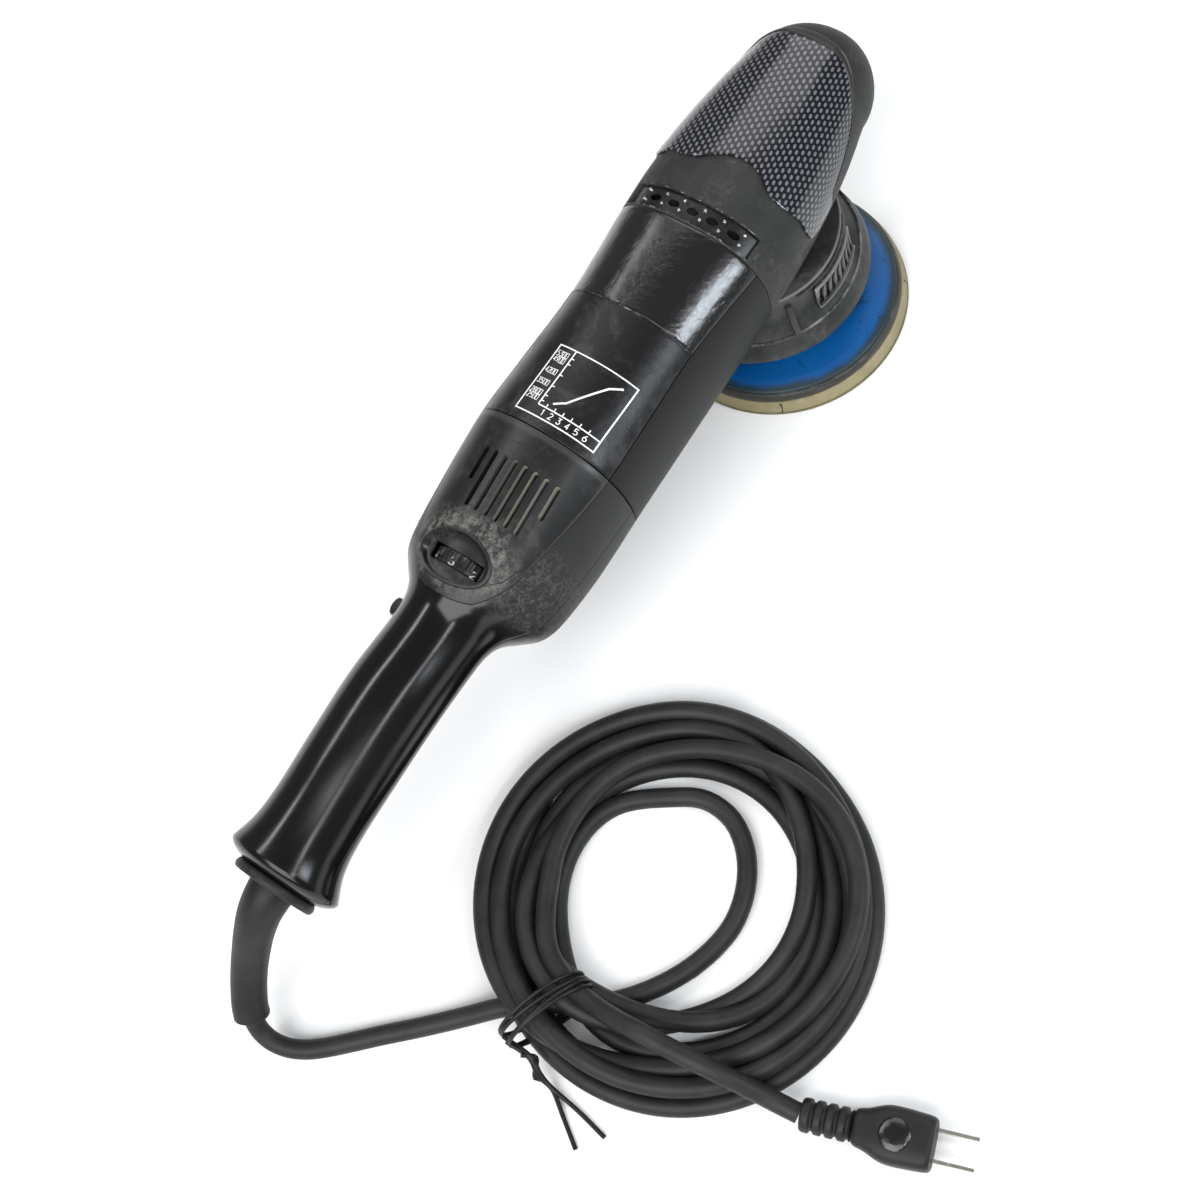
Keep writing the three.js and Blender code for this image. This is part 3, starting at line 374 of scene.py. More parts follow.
def pad_grey():
    r = Recipe("side_pad_grey")
    base = r.mix(r.noise(36, 5), (0.0055, 0.0058, 0.0052), (0.0095, 0.0098, 0.0088))
    scuff = r.ramp(r.noise(52, 8, 0.82), 0.6, 0.8)
    r.set(Specular_IOR_Level=0.22)
    return r.done(r.mix(scuff * 0.55, base, (0.07, 0.071, 0.066)), r.blend(scuff, 0.5, 0.7),
                  (r.noise(1500, 2, 0.5), 0.2, 0.0002))


def plate_blue():
    """Blue moulding, stained, and worn to a grey-teal band near its edge."""
    r = Recipe("plate_blue_worn")
    radius = r.distance(r.axis("X"), r.axis("Y") - PLATE_Y)
    base = r.mix(r.noise(30, 5), (0.0004, 0.056, 0.215), (0.0008, 0.098, 0.32))
    stain = r.ramp(r.noise(58, 8, 0.85), 0.54, 0.62)
    stained = r.mix(stain * 0.75, base, (0.004, 0.014, 0.028))
    worn = r.ramp(radius + r.noise(38, 4) * 0.006, 0.0560, 0.0600)
    return r.done(r.mix(worn, stained, (0.016, 0.034, 0.043)), r.blend(r.noise(70, 5), 0.26, 0.5),
                  (r.noise(240, 4, 0.6), 0.12, 0.0003))


def rim_grey():
    r = Recipe("plate_rim_grey")
    base = r.mix(r.noise(50, 5), (0.018, 0.019, 0.0175), (0.045, 0.045, 0.040))
    streak = r.ramp(r.noise(60, 6, 0.7, (1.0, 1.0, 6.0)), 0.5, 0.7)
    return r.done(r.mix(streak, base, (0.075, 0.075, 0.066)), 0.5, (r.noise(500, 4, 0.6), 0.2, 0.0003))


def foam(name="foam_tan", tint=1.0):
    r = Recipe(name)
    base = r.mix(r.ramp(r.noise(45, 6, 0.7), 0.3, 0.7), tinted((0.23, 0.20, 0.11), tint),
                 tinted((0.33, 0.29, 0.175), tint))
    grime = r.ramp(r.noise(70, 7, 0.8), 0.6, 0.82)
    return r.done(r.mix(grime * 0.6, base, (0.08, 0.072, 0.05)), 0.93, (r.cells(1500), 0.5, 0.0005),
                  (r.noise(420, 4, 0.7), 0.3, 0.0005))


def cord_rubber(name="cord_rubber_matte", tint=1.0):
    """Matte cord rubber, faintly chalky."""
    r = Recipe(name)
    base = r.mix(r.ramp(r.noise(60, 5), 0.3, 0.7), tinted((0.0100, 0.0101, 0.0098), tint),
                 tinted((0.0190, 0.0191, 0.0186), tint))
    chalk = r.ramp(r.noise(110, 8, 0.8), 0.55, 0.8)
    return r.done(r.mix(chalk * 0.35, base, (0.05, 0.05, 0.048)), r.blend(chalk, 0.5, 0.72),
                  (r.noise(900, 4, 0.65), 0.25, 0.0003))


def tie_black():
    r = Recipe("tie_black")
    return r.done(r.mix(r.noise(200, 3), (0.004, 0.004, 0.0045), (0.012, 0.012, 0.013)),
                  r.blend(r.noise(400, 3), 0.3, 0.5), (r.noise(700, 3), 0.2, 0.0003))


def print_white():
    r = Recipe("print_white")
    chipped = r.ramp(r.noise(900, 4, 0.7), 0.62, 0.7)
    return r.done(r.mix(chipped, (0.80, 0.81, 0.80), (0.35, 0.35, 0.35)), r.blend(r.noise(300, 3), 0.4, 0.6))


def rubbed(name, scale, low, high, dark, light, smooth, grain):
    """Dark plastic, pale in patches: worn pale along the step and band edges, a painted highlight on the
    shroud's ridge.
    """
    r = Recipe(name)
    pale = r.ramp(r.noise(scale, 7, 0.8), low, high)
    return r.done(r.mix(pale, dark, light), r.blend(pale, smooth, 0.75), (r.noise(grain, 4, 0.6), 0.3, 0.0003))


def metal(name, light, dark, rough=(0.25, 0.45), grain=500):
    r = Recipe(name)
    streaks = r.noise(grain, 3, 0.6)
    spots = r.ramp(r.noise(80, 6, 0.75), 0.5, 0.8)
    r.set(Metallic=1.0)
    return r.done(r.mix(spots * 0.5, r.mix(streaks, dark, light), dark), r.blend(streaks, *rough),
                  (streaks, 0.08, 0.0002))


def moulded(name, light, dark, rough=(0.4, 0.6)):
    r = Recipe(name)
    return r.done(r.mix(r.ramp(r.noise(40, 5), 0.3, 0.7), dark, light), r.blend(r.noise(120, 4), *rough),
                  (r.noise(1100, 3), 0.15, 0.0002))


def banded(name, scale, distortion, dark, light, rough, strength, distance):
    """Metal in fine bands: wound wire, or a stack of sheets."""
    r = Recipe(name)
    bands = r.waves(scale, distortion)
    r.set(Metallic=1.0)
    return r.done(r.mix(bands, dark, light), r.blend(bands, *rough), (bands, strength, distance))


# ---------------------------------------------------------------- the tool's outer skin


def along(column, x):
    """A smooth value between stations, by cubic Hermite pieces."""
    last = len(STATIONS) - 1
    found = next((i for i, station in enumerate(STATIONS) if station[0] > x), last)
    i = min(max(found, 1), last) - 1

    def slope(k):
        before, after = STATIONS[max(k - 1, 0)], STATIONS[min(k + 1, last)]
        return (after[column] - before[column]) / (after[0] - before[0])

    start, end = STATIONS[i], STATIONS[i + 1]
    width = end[0] - start[0]
    t = min(max((x - start[0]) / width, 0.0), 1.0)
    return (
        start[column] * (2 * t**3 - 3 * t**2 + 1)
        + end[column] * (3 * t**2 - 2 * t**3)
        + slope(i) * width * (t**3 - 2 * t**2 + t)
        + slope(i + 1) * width * (t**3 - t**2)
    )


def section(x):
    """Half width, half height, middle height and power of the skin at x, domes included."""
    at = min(max(x, BUTT_START_X), NOSE_START_X)
    part = 0.0
    if x > NOSE_START_X:
        part = (x - NOSE_START_X) / NOSE_LENGTH
    if x < BUTT_START_X:
        part = (BUTT_START_X - x) / BUTT_LENGTH
    shrink = math.sqrt(max(1.0 - part**2, 1e-6))
    top, bottom = along(TOP, at), along(BOTTOM, at)
    return along(HALF, at) * shrink, (top - bottom) / 2 * shrink, (top + bottom) / 2, along(POWER, at)


def signed_power(value, power):
    return math.copysign(abs(value) ** power, value)


def skin_point(x, turn, grow=0.0):
    """A point of the skin; turn is 0 on the left, a quarter on top, a half on the right."""
    half, rise, middle, power = section(x)
    y = (half + grow) * signed_power(math.cos(turn), 2 / power)
    z = middle + (rise + grow) * signed_power(math.sin(turn), 2 / power)
    return Vector((x, y, z))


def turn_at_height(x, z):
    """The left-hand turn at which the skin is at height z."""
    _, rise, middle, power = section(x)
    return math.asin(signed_power(min(max((z - middle) / rise, -1.0), 1.0), power / 2))


def turn_at_side(x, y):
    """The upper turn at which the skin is y to the left of the middle."""
    half, _, _, power = section(x)
    return math.acos(signed_power(min(max(y / half, -1.0), 1.0), power / 2))


def on_top(x, y, grow=0.0):
    """The point of the upper skin above (x, y)."""
    return skin_point(x, turn_at_side(x, y), grow)


def spread(start, end, count):
    return [start + (end - start) * i / (count - 1) for i in range(count)]


def turns(count):
    """The angles of a full turn in equal parts, without its end."""
    return [math.tau * i / count for i in range(count)]


def oval(x, y, half_x, half_y, count):
    return [(x + half_x * math.cos(t), y + half_y * math.sin(t)) for t in turns(count)]


# ---------------------------------------------------------------- mesh helpers


def baked(shape, name):
    """Ends a bmesh as a mesh."""
    mesh = bpy.data.meshes.new(name)
    shape.to_mesh(mesh)
    shape.free()
    return mesh


def grid_mesh(name, rows, closed=False, drop=None):
    """Quads through rows of points; drop(i, j) leaves a quad out. Repeated points are merged."""
    shape = bmesh.new()
    skin_uv = shape.loops.layers.uv.new("skin")
    corners = [[shape.verts.new(p) for p in row] for row in rows]
    girths = []
    for row in rows:
        lengths = [0.0]
        for before, after in zip(row, row[1:]):
            lengths.append(lengths[-1] + (after - before).length)
        girths.append([length - lengths[-1] / 2 for length in lengths])
    columns = len(rows[0])
    for i in range(len(rows) - 1):
        for j in range(columns if closed else columns - 1):
            if drop and drop(i, j):
                continue
            k = (j + 1) % columns
            ring = [(i, j), (i, k), (i + 1, k), (i + 1, j)]
            face = shape.faces.new([corners[a][b] for a, b in ring])
            for loop, (a, b) in zip(face.loops, ring):
                loop[skin_uv].uv = (girths[a][b], rows[a][b].x)
    bmesh.ops.delete(shape, geom=[v for v in shape.verts if not v.link_faces], context="VERTS")
    bmesh.ops.remove_doubles(shape, verts=shape.verts, dist=1e-6)
    return baked(shape, name)


def outward(mesh):
    """The mesh, with its faces turned outwards."""
    shape = bmesh.new()
    shape.from_mesh(mesh)
    bmesh.ops.recalc_face_normals(shape, faces=shape.faces)
    shape.to_mesh(mesh)
    shape.free()
    return mesh


def piece(name, mesh, material, body=ROOT, replaces=()):
    obj = link(name, mesh)
    mesh.materials.clear()
    mesh.materials.append(material)
    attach(obj, body)
    if replaces:
        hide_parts(*replaces)
    return obj


def settle(obj, crease=38):
    """Applies the modifiers and shades smooth, sharp above the crease angle."""
    graph = bpy.context.evaluated_depsgraph_get()
    mesh = bpy.data.meshes.new_from_object(obj.evaluated_get(graph))
    obj.modifiers.clear()
    obj.data = mesh
    mesh.polygons.foreach_set("use_smooth", [True] * len(mesh.polygons))
    mesh.set_sharp_from_angle(angle=math.radians(crease))
    return obj


def solidify(obj, thickness, offset=-1):
    modifier = obj.modifiers.new("thickness", "SOLIDIFY")
    modifier.thickness = thickness
    modifier.offset = offset
    return modifier


def thicken(obj, thickness, rim):
    """Gives a skin its thickness, inwards, and rounds its rims."""
    solidify(obj, thickness).use_even_offset = True
    round_edges(obj, rim, 3, 50)
    return settle(obj)


def round_edges(obj, width, segments, angle):
    bevel = obj.modifiers.new("rims", "BEVEL")
    bevel.width = width
    bevel.segments = segments
    bevel.limit_method = "ANGLE"
    bevel.angle_limit = math.radians(angle)
    bevel.harden_normals = False


def cut(obj, cutters):
    """Subtracts the cutter objects and removes them."""
    for cutter in cutters:
        boolean = obj.modifiers.new("cut", "BOOLEAN")
        boolean.operation = "DIFFERENCE"
        boolean.solver = "EXACT"
        boolean.object = cutter
    settle(obj)
    for cutter in cutters:
        bpy.data.objects.remove(cutter)


def prism(name, outline, low, high, bevel=0.0):
    """A loose closed prism from an anticlockwise outline of (x, y) points."""
    shape = bmesh.new()
    base = shape.faces.new([shape.verts.new((x, y, low)) for x, y in outline])
    extruded = bmesh.ops.extrude_face_region(shape, geom=[base])
    moved = [v for v in extruded["geom"] if isinstance(v, bmesh.types.BMVert)]
    bmesh.ops.translate(shape, verts=moved, vec=(0, 0, high - low))
    bmesh.ops.recalc_face_normals(shape, faces=shape.faces)
    if bevel:
        bmesh.ops.bevel(shape, geom=list(shape.edges), offset=bevel, segments=2, affect="EDGES", profile=0.5)
    return link(name, baked(shape, name))


def slot_outline(rear, front, y, half):
    """A slot along X with round ends."""
    points = []
    for centre, first in ((front - half, -90), (rear + half, 90)):
        for step in range(7):
            turn = math.radians(first + 30 * step)
            points.append((centre + half * math.cos(turn), y + half * math.sin(turn)))
    return points


def lathe_mesh(name, profile, centre=(0, 0), sides=128):
    """A solid or ring of revolution about Z through (radius, height) points."""
    rows = [[Vector((centre[0] + radius * math.cos(turn), centre[1] + radius * math.sin(turn), height))
             for radius, height in profile] for turn in turns(sides)]
    return grid_mesh(name, [*rows, rows[0]])


def smooth_profile(corners, rounding, steps=4):
    """Rounds the corners of a (radius, height) profile."""
    points = [corners[0]]
    for before, corner, after in zip(corners, corners[1:], corners[2:]):
        a, b, c = Vector(before), Vector(corner), Vector(after)
        reach = min(rounding, (a - b).length * 0.45, (c - b).length * 0.45)
        start = b + (a - b).normalized() * reach
        end = b + (c - b).normalized() * reach
        for t in spread(0, 1, steps + 1):
            points.append(tuple(start * (1 - t) ** 2 + b * 2 * t * (1 - t) + end * t**2))
    points.append(corners[-1])
    return points


def tube_mesh(name, path, radius, sides=16):
    """A closed round tube along points, with a radius for each point or one for all."""
    radii = radius if isinstance(radius, list) else [radius] * len(path)
    rows = []
    normal = None
    for i, centre in enumerate(path):
        ahead = (path[min(i + 1, len(path) - 1)] - path[max(i - 1, 0)]).normalized()
        if normal is None:
            normal = ahead.orthogonal().normalized()
        normal = (normal - ahead * normal.dot(ahead)).normalized()
        side = ahead.cross(normal)
        rows.append([centre + normal * radii[i] * math.cos(turn) + side * radii[i] * math.sin(turn)
                     for turn in turns(sides)])
    return grid_mesh(name, [[path[0]] * sides, *rows, [path[-1]] * sides], closed=True)


def smooth_path(points, step=0.002):
    """A centripetal Catmull-Rom curve through points, sampled every step."""
    knots = [Vector(p) for p in points]
    ends = [knots[0] * 2 - knots[1], *knots, knots[-1] * 2 - knots[-2]]
    path = []
    for a, b, c, d in zip(ends, ends[1:], ends[2:], ends[3:]):
        t1 = max((b - a).length, 1e-9) ** 0.5
        t2 = t1 + (c - b).length ** 0.5
        t3 = t2 + max((d - c).length, 1e-9) ** 0.5
        count = max(2, round((c - b).length / step))
        for i in range(count):
            t = t1 + (t2 - t1) * i / count
            ab = a * ((t1 - t) / t1) + b * (t / t1)
            bc = b * ((t2 - t) / (t2 - t1)) + c * ((t - t1) / (t2 - t1))
            cd = c * ((t3 - t) / (t3 - t2)) + d * ((t - t2) / (t3 - t2))
            abc = ab * ((t2 - t) / t2) + bc * (t / t2)
            bcd = bc * ((t3 - t) / (t3 - t1)) + cd * ((t - t1) / (t3 - t1))
            path.append(abc * ((t2 - t) / (t2 - t1)) + bcd * ((t - t1) / (t2 - t1)))
    path.append(knots[-1])
    return path


# ---------------------------------------------------------------- mains lead

BOOT_ROUTE = [
    (-0.3715, 0, 0.076), (-0.3785, 0.0003, 0.0754), (-0.3875, 0.0018, 0.070),
    (-0.3965, 0.0034, 0.0605), (-0.405, 0.0044, 0.050), (-0.4135, 0.0044, 0.040),
    (-0.4215, 0.0032, 0.0308), (-0.4274, 0.0012, 0.0246), (-0.4308, -0.0008, 0.0208),
]
BOOT_RADII = [0.0108, 0.0108, 0.0100, 0.0092, 0.0087, 0.0084, 0.0083, 0.0083, 0.0084]
LEAD_ROUTE = [
    (-0.4318, -0.0017, 0.0194), (-0.4344, -0.0052, 0.0148), (-0.4356, -0.011, 0.0104),
    (-0.4339, -0.019, 0.0071), (-0.4286, -0.028, 0.0053), (-0.4195, -0.038, 0.0047),
    (-0.4055, -0.052, 0.0047), (-0.3915, -0.0665, 0.0047), (-0.377, -0.081, 0.0056),
    (-0.363, -0.0955, 0.009), (-0.3514, -0.1105, 0.0104), (-0.344, -0.123, 0.0096),
    (-0.3355, -0.134, 0.0068), (-0.324, -0.144, 0.0049), (-0.309, -0.1535, 0.0047),
    (-0.294, -0.1595, 0.0047), (-0.277, -0.162, 0.0047), (-0.260, -0.158, 0.0047),
    (-0.246, -0.149, 0.0047), (-0.2365, -0.1355, 0.0047), (-0.235, -0.120, 0.0048),
    (-0.2405, -0.107, 0.0054),
]
TAIL_ROUTE = [
    (-0.3265, -0.088, 0.016), (-0.334, -0.103, 0.018), (-0.338, -0.117, 0.0176),
    (-0.3395, -0.129, 0.0186), (-0.3396, -0.143, 0.023), (-0.3384, -0.158, 0.0276),
    (-0.337, -0.172, 0.0276), (-0.3352, -0.186, 0.026), (-0.333, -0.200, 0.0216),
    (-0.331, -0.2125, 0.015), (-0.3296, -0.223, 0.0106), (-0.32835, -0.232, 0.0092),
]

# The coil's turns: radius and height of the middle line at azimuths 35, 125, 215 and 305 degrees,
# in the order in which they are wound.
COIL_TURNS = [
    [(50, 4.7), (57, 4.7), (66, 4.7), (75, 4.7)],
    [(84, 4.7), (91, 4.7), (93, 4.7), (88, 4.7)],
    [(93, 4.7), (82, 4.7), (83, 4.7), (78, 4.7)],
    [(75, 4.7), (66, 4.7), (57, 12.5), (66, 4.7)],
    [(67, 12), (72, 12.6), (52, 5.5), (61, 12.4)],
    [(80, 12.6), (87, 12.6), (88, 12.6), (83, 12.6)],
    [(89, 12.6), (94, 12), (77, 12.8), (86, 20)],
    [(70, 20), (62, 17.5)],
]
# Least and greatest radius of the turns' middle lines round the coil, millimetres.
COIL_LIMITS = [(35, 64, 93), (80, 58, 96), (125, 53, 93), (164, 58, 89.5), (215, 50, 93),
               (262, 54, 93), (305, 60, 89), (345, 63, 86), (395, 64, 93)]
TURN_POINTS = 48


def coil_guess():
    """The turns between lead and tail, anticlockwise from above, by smooth steps between quarters."""
    quarters = [value for turn in COIL_TURNS for value in turn]
    start = math.atan2(LEAD_ROUTE[-1][1] - COIL_CENTRE.y, LEAD_ROUTE[-1][0] - COIL_CENTRE.x)
    end = math.atan2(TAIL_ROUTE[0][1] - COIL_CENTRE.y, TAIL_ROUTE[0][0] - COIL_CENTRE.x)
    quarter_points = TURN_POINTS // 4
    points = []
    for k, ((r0, z0), (r1, z1)) in enumerate(zip(quarters, quarters[1:])):
        for i in range(quarter_points):
            t = i / quarter_points
            ease = t * t * (3 - 2 * t)
            turn = math.radians(35 + 90 * (k + t))
            radius = (r0 + (r1 - r0) * ease) / 1000
            height = (z0 + (z1 - z0) * ease) / 1000
            if turn < start + math.radians(8) or turn > 2 * math.pi * 7 + end - math.radians(7):
                continue
            points.append((COIL_CENTRE.x + radius * math.cos(turn),
                           COIL_CENTRE.y + radius * math.sin(turn), height))
    return points


def lay_coil():
    """Presses the turns apart to a diameter, lets them settle, and keeps them between the limits."""
    coil = np.array(coil_guess())
    lead = np.array([tuple(p) for p in smooth_path(LEAD_ROUTE, 0.008)])
    tail = np.array([tuple(p) for p in smooth_path(TAIL_ROUTE, 0.008)])
    path = np.vstack([lead[:-1], coil, tail[1:]])
    first, last = len(lead) - 1, len(lead) - 1 + len(coil)
    index = np.arange(len(path))
    apart = np.abs(index[:, None] - index[None, :]) > 6
    guess = path.copy()
    azimuth_at, least_at, most_at = (np.array(column, float) for column in zip(*COIL_LIMITS))
    floor = CORD_DIAMETER / 2 + 0.0001
    for _ in range(150):
        moved = path - guess
        for _ in range(2):
            moved[first:last] += 0.5 * ((moved[first - 1:last - 1] + moved[first + 1:last + 1]) / 2
                                        - moved[first:last])
        path[first:last] = (guess + moved)[first:last]
        path[first:last, 2] -= 0.00012
        for _ in range(2):
            gaps = path[:, None, :] - path[None, :, :]
            away = np.sqrt((gaps**2).sum(axis=2)) + 1e-9
            short = np.where(apart, np.clip(CORD_DIAMETER * 1.01 - away, 0, None), 0)
            push = (gaps / away[:, :, None] * (short * 0.3)[:, :, None]).sum(axis=1)
            path[first:last] += push[first:last]
        offset = path[first:last, :2] - np.array(COIL_CENTRE[:2])
        radius = np.hypot(offset[:, 0], offset[:, 1])
        azimuth = (np.degrees(np.arctan2(offset[:, 1], offset[:, 0])) - 35) % 360 + 35
        least = np.interp(azimuth, azimuth_at, least_at) / 1000
        most = np.interp(azimuth, azimuth_at, most_at) / 1000
        kept = np.clip(radius, least, most)
        ease = np.minimum(np.minimum(np.arange(len(radius)), np.arange(len(radius))[::-1]) / 14, 1)
        kept = radius + (kept - radius) * ease
        path[first:last, :2] = np.array(COIL_CENTRE[:2]) + offset * (kept / radius)[:, None]
        path[first:last, 2] = np.clip(path[first:last, 2], floor, 0.0235)
    for _ in range(6):
        path[first:last] += 0.5 * ((path[first - 1:last - 1] + path[first + 1:last + 1]) / 2
                                   - path[first:last])
    low, high = last - 2, last + 4
    for _ in range(3):
        path[low:high] += 0.5 * ((path[low - 1:high - 1] + path[low + 1:high + 1]) / 2 - path[low:high])
    return [Vector(p) for p in path]


def path_length(path):
    return sum((b - a).length for a, b in zip(path, path[1:]))


def make_cord():
    path = smooth_path(lay_coil(), 0.0035)
    cord = piece("mains_cord", tube_mesh("mains_cord", path, CORD_DIAMETER / 2, 18), cord_rubber(),
                 replaces=("cord_lead", "cord_coil", "cord_tail"))
    return settle(cord), path


def on_plug(mesh):
    mesh.transform(Matrix.Translation(PLUG) @ Matrix.Rotation(PLUG_TURN, 4, "Z"))
    return mesh


def lathe_along_x(name, profile, sides=48):
    mesh = lathe_mesh(name, profile, sides=sides)
    mesh.transform(Matrix.Rotation(math.pi / 2, 4, "Y"))
    return mesh


def make_boot():
    """The tapered boot and the rubber collar behind the handle's butt."""
    path = smooth_path(BOOT_ROUTE, 0.0012)
    walked = np.array([path_length(path[: i + 1]) for i in range(len(path))])
    stations = [path_length([Vector(p) for p in BOOT_ROUTE[: i + 1]]) for i in range(len(BOOT_ROUTE))]
    walked *= stations[-1] / walked[-1]
    radii = [float(value) for value in np.interp(walked, stations, BOOT_RADII)]
    boot = piece("boot", tube_mesh("boot", path, radii, 40), cord_rubber("boot_rubber", 0.6),
                 replaces=("cord_boot",))
    round_edges(boot, 0.0006, 2, 50)
    profile = smooth_profile([(0.0110, -0.3728), (0.0196, -0.3728), (0.0206, -0.3752), (0.0196, -0.3776),
                              (0.0135, -0.3772), (0.0110, -0.3760)], 0.0010)
    collar = lathe_along_x("butt_collar", [*profile, profile[0]])
    collar.transform(Matrix.Translation((0, 0, 0.0755)))
    settle(piece("butt_collar", outward(collar), cord_rubber("collar_rubber")))
    return settle(boot)


def make_plug():
    """The ribbed strain relief, the plug's shell and the dome on it."""
    rubber = cord_rubber("plug_rubber", 0.6)
    profile = [(0.0, 0.0003), (0.0068, 0.0003)]
    for rib in range(4):
        start = 0.0008 + rib * 0.0052
        profile += [(0.0073, start + 0.0006), (0.0074, start + 0.0032), (0.0060, start + 0.0040),
                    (0.0060, start + 0.0048)]
    profile += [(0.0070, 0.0220), (0.0, 0.0220)]
    relief = piece("plug_strain_relief", on_plug(lathe_along_x("plug_strain_relief", profile)), rubber,
                   replaces=("plug_relief",))
    round_edges(relief, 0.0005, 3, 35)
    settle(relief)

    stops = [
        (0.0224, 0.0078, 0.0066), (0.0260, 0.0082, 0.0072), (0.0300, 0.0095, 0.0082),
        (0.0340, 0.0115, 0.0088), (0.0380, 0.0124, 0.0090), (0.0440, 0.0123, 0.0090),
        (0.0500, 0.0120, 0.0089), (0.0550, 0.0117, 0.0087), (0.0566, 0.0110, 0.0080),
        (0.0570, 0.0100, 0.0070),
    ]
    rows = [[Vector((x, half * signed_power(math.cos(turn), 0.55), rise * signed_power(math.sin(turn), 0.6)))
             for turn in turns(48)] for x, half, rise in stops]
    rows = [[Vector((stops[0][0], 0, 0))] * 48, *rows, [Vector((stops[-1][0], 0, 0))] * 48]
    shell = piece("plug_shell", on_plug(grid_mesh("plug_shell", rows, closed=True)), rubber,
                  replaces=("plug_body",))
    shell.modifiers.new("smooth", "SUBSURF").levels = 2
    settle(shell)
    profile = smooth_profile([(0.0, 0.0106), (0.0040, 0.0104), (0.0066, 0.0097), (0.0078, 0.0086),
                              (0.0079, 0.0078), (0.0, 0.0078)], 0.0012)
    dome = lathe_mesh("plug_dimple", profile, sides=48)
    dome.transform(Matrix.Translation((0.0410, 0, -0.0006)))
    return [relief, shell, settle(piece("plug_dimple", on_plug(dome), gloss_black("plug_gloss", 0.1)))]


def make_tie():
    """Two turns of coated wire round the coil, twisted, with two loose tails."""
    across = Vector((math.cos(TIE_TURN), math.sin(TIE_TURN), 0))
    ahead = Vector((-math.sin(TIE_TURN), math.cos(TIE_TURN), 0))
    middle = COIL_CENTRE + across * 0.076 + Vector((0, 0, 0.0147))
    shape = bmesh.new()
    for place in (-0.0034, -0.0016, 0.0022, 0.0040):
        loop = []
        for turn in spread(0, math.tau, 49):
            drift = place + 0.0011 * math.sin(turn + place * 900) - 0.0016 * math.cos(turn)
            loop.append(middle + across * 0.0221 * math.cos(turn)
                        + Vector((0, 0, 1)) * 0.0136 * math.sin(turn) + ahead * drift)
        shape.from_mesh(tube_mesh("loop", loop, 0.0010, 10))
    knot = Vector((-0.3745, -0.1205, 0.0145))
    low_knot = Vector((-0.3790, -0.1265, 0.0075))
    side = middle + across * 0.0222
    tails = [
        [side + Vector((0, 0, 0.003)), knot, low_knot, (-0.3801, -0.1332, 0.0032), (-0.3870, -0.1440, 0.0016),
         (-0.3954, -0.1570, 0.0012)],
        [side - ahead * 0.0035, knot + Vector((0.0008, -0.001, 0.001)), low_knot + Vector((0.0015, 0, 0.0006)),
         (-0.3794, -0.1314, 0.0040), (-0.3814, -0.1489, 0.0016), (-0.3840, -0.1650, 0.0012)],
        [knot + Vector((-0.001, 0.003, 0.003)), knot + Vector((0.0018, -0.0022, -0.001)),
         low_knot + Vector((-0.0014, 0.001, 0)), low_knot + Vector((0.0006, -0.0026, -0.002))],
    ]
    for tail in tails:
        shape.from_mesh(tube_mesh("tail", smooth_path(tail, 0.002), 0.0011, 10))
    return settle(piece("tie_wires", baked(shape, "cord_tie_wires"), tie_black(),
                        replaces=("cord_tie",)))


# ---------------------------------------------------------------- head


def make_head_cover():
    notch_turn = math.radians(39.5)
    notch_front, notch_rear = -0.0240, -0.0348
    xs = [*spread(COVER_REAR_X, notch_rear, 2), *spread(notch_rear, notch_front, 7)[1:],
          *spread(notch_front, NOSE_START_X, 44)[1:]]
    dome = [NOSE_START_X + NOSE_LENGTH * math.sin(math.radians(a)) for a in range(4, 90, 3)]
    xs += [*dome, NOSE_START_X + NOSE_LENGTH * 0.9999]
    rows = []
    for x in xs:
        low = turn_at_height(x, COVER_BOTTOM_Z) if x <= NOSE_START_X else -math.pi / 2
        turns = [*spread(low, notch_turn, 26), *spread(notch_turn, math.pi - notch_turn, 49)[1:],
                 *spread(math.pi - notch_turn, math.pi - low, 26)[1:]]
        rows.append([skin_point(x, turn) for turn in turns])

    def in_notch(i, j):
        middle_x = (xs[i] + xs[min(i + 1, len(xs) - 1)]) / 2
        return notch_rear < middle_x < notch_front and 25 <= j < 73

    mesh = grid_mesh("head_cover_rubber", rows, drop=in_notch)
    cover = piece("head_cover_rubber", mesh, cover_rubber(), replaces=("head_cover",))
    return thicken(cover, SKIN, 0.0007)


# The woven panel's outline: ring angle in degrees and X in millimetres, mirrored past each end.
INSERT_FRONT = [(90, 69.2), (113, 69.2), (125, 67.3), (137, 63.1), (150, 57.3), (160, 50.2), (167, 41.7),
                (172, 34.2), (178, 20.5), (185, 16.6)]
INSERT_REAR = [(48, -4.6), (60, -6.2), (71, -6.4), (79, -5.2), (86, -1.6), (91, 1), (99, 2.1), (106, 1.7),
               (114, -0.6), (121, -4), (129, -6.4), (140, -6.4), (152, -5.1), (162, -3.8), (172, -4.3),
               (181, -2.8), (185, 4.5)]


def insert_front(degrees):
    away = 90 + abs(degrees - 90)
    return float(np.interp(away, *zip(*INSERT_FRONT))) / 1000


def insert_rear(degrees):
    side = degrees if degrees > 48 else 180 - degrees
    return float(np.interp(side, *zip(*INSERT_REAR))) / 1000


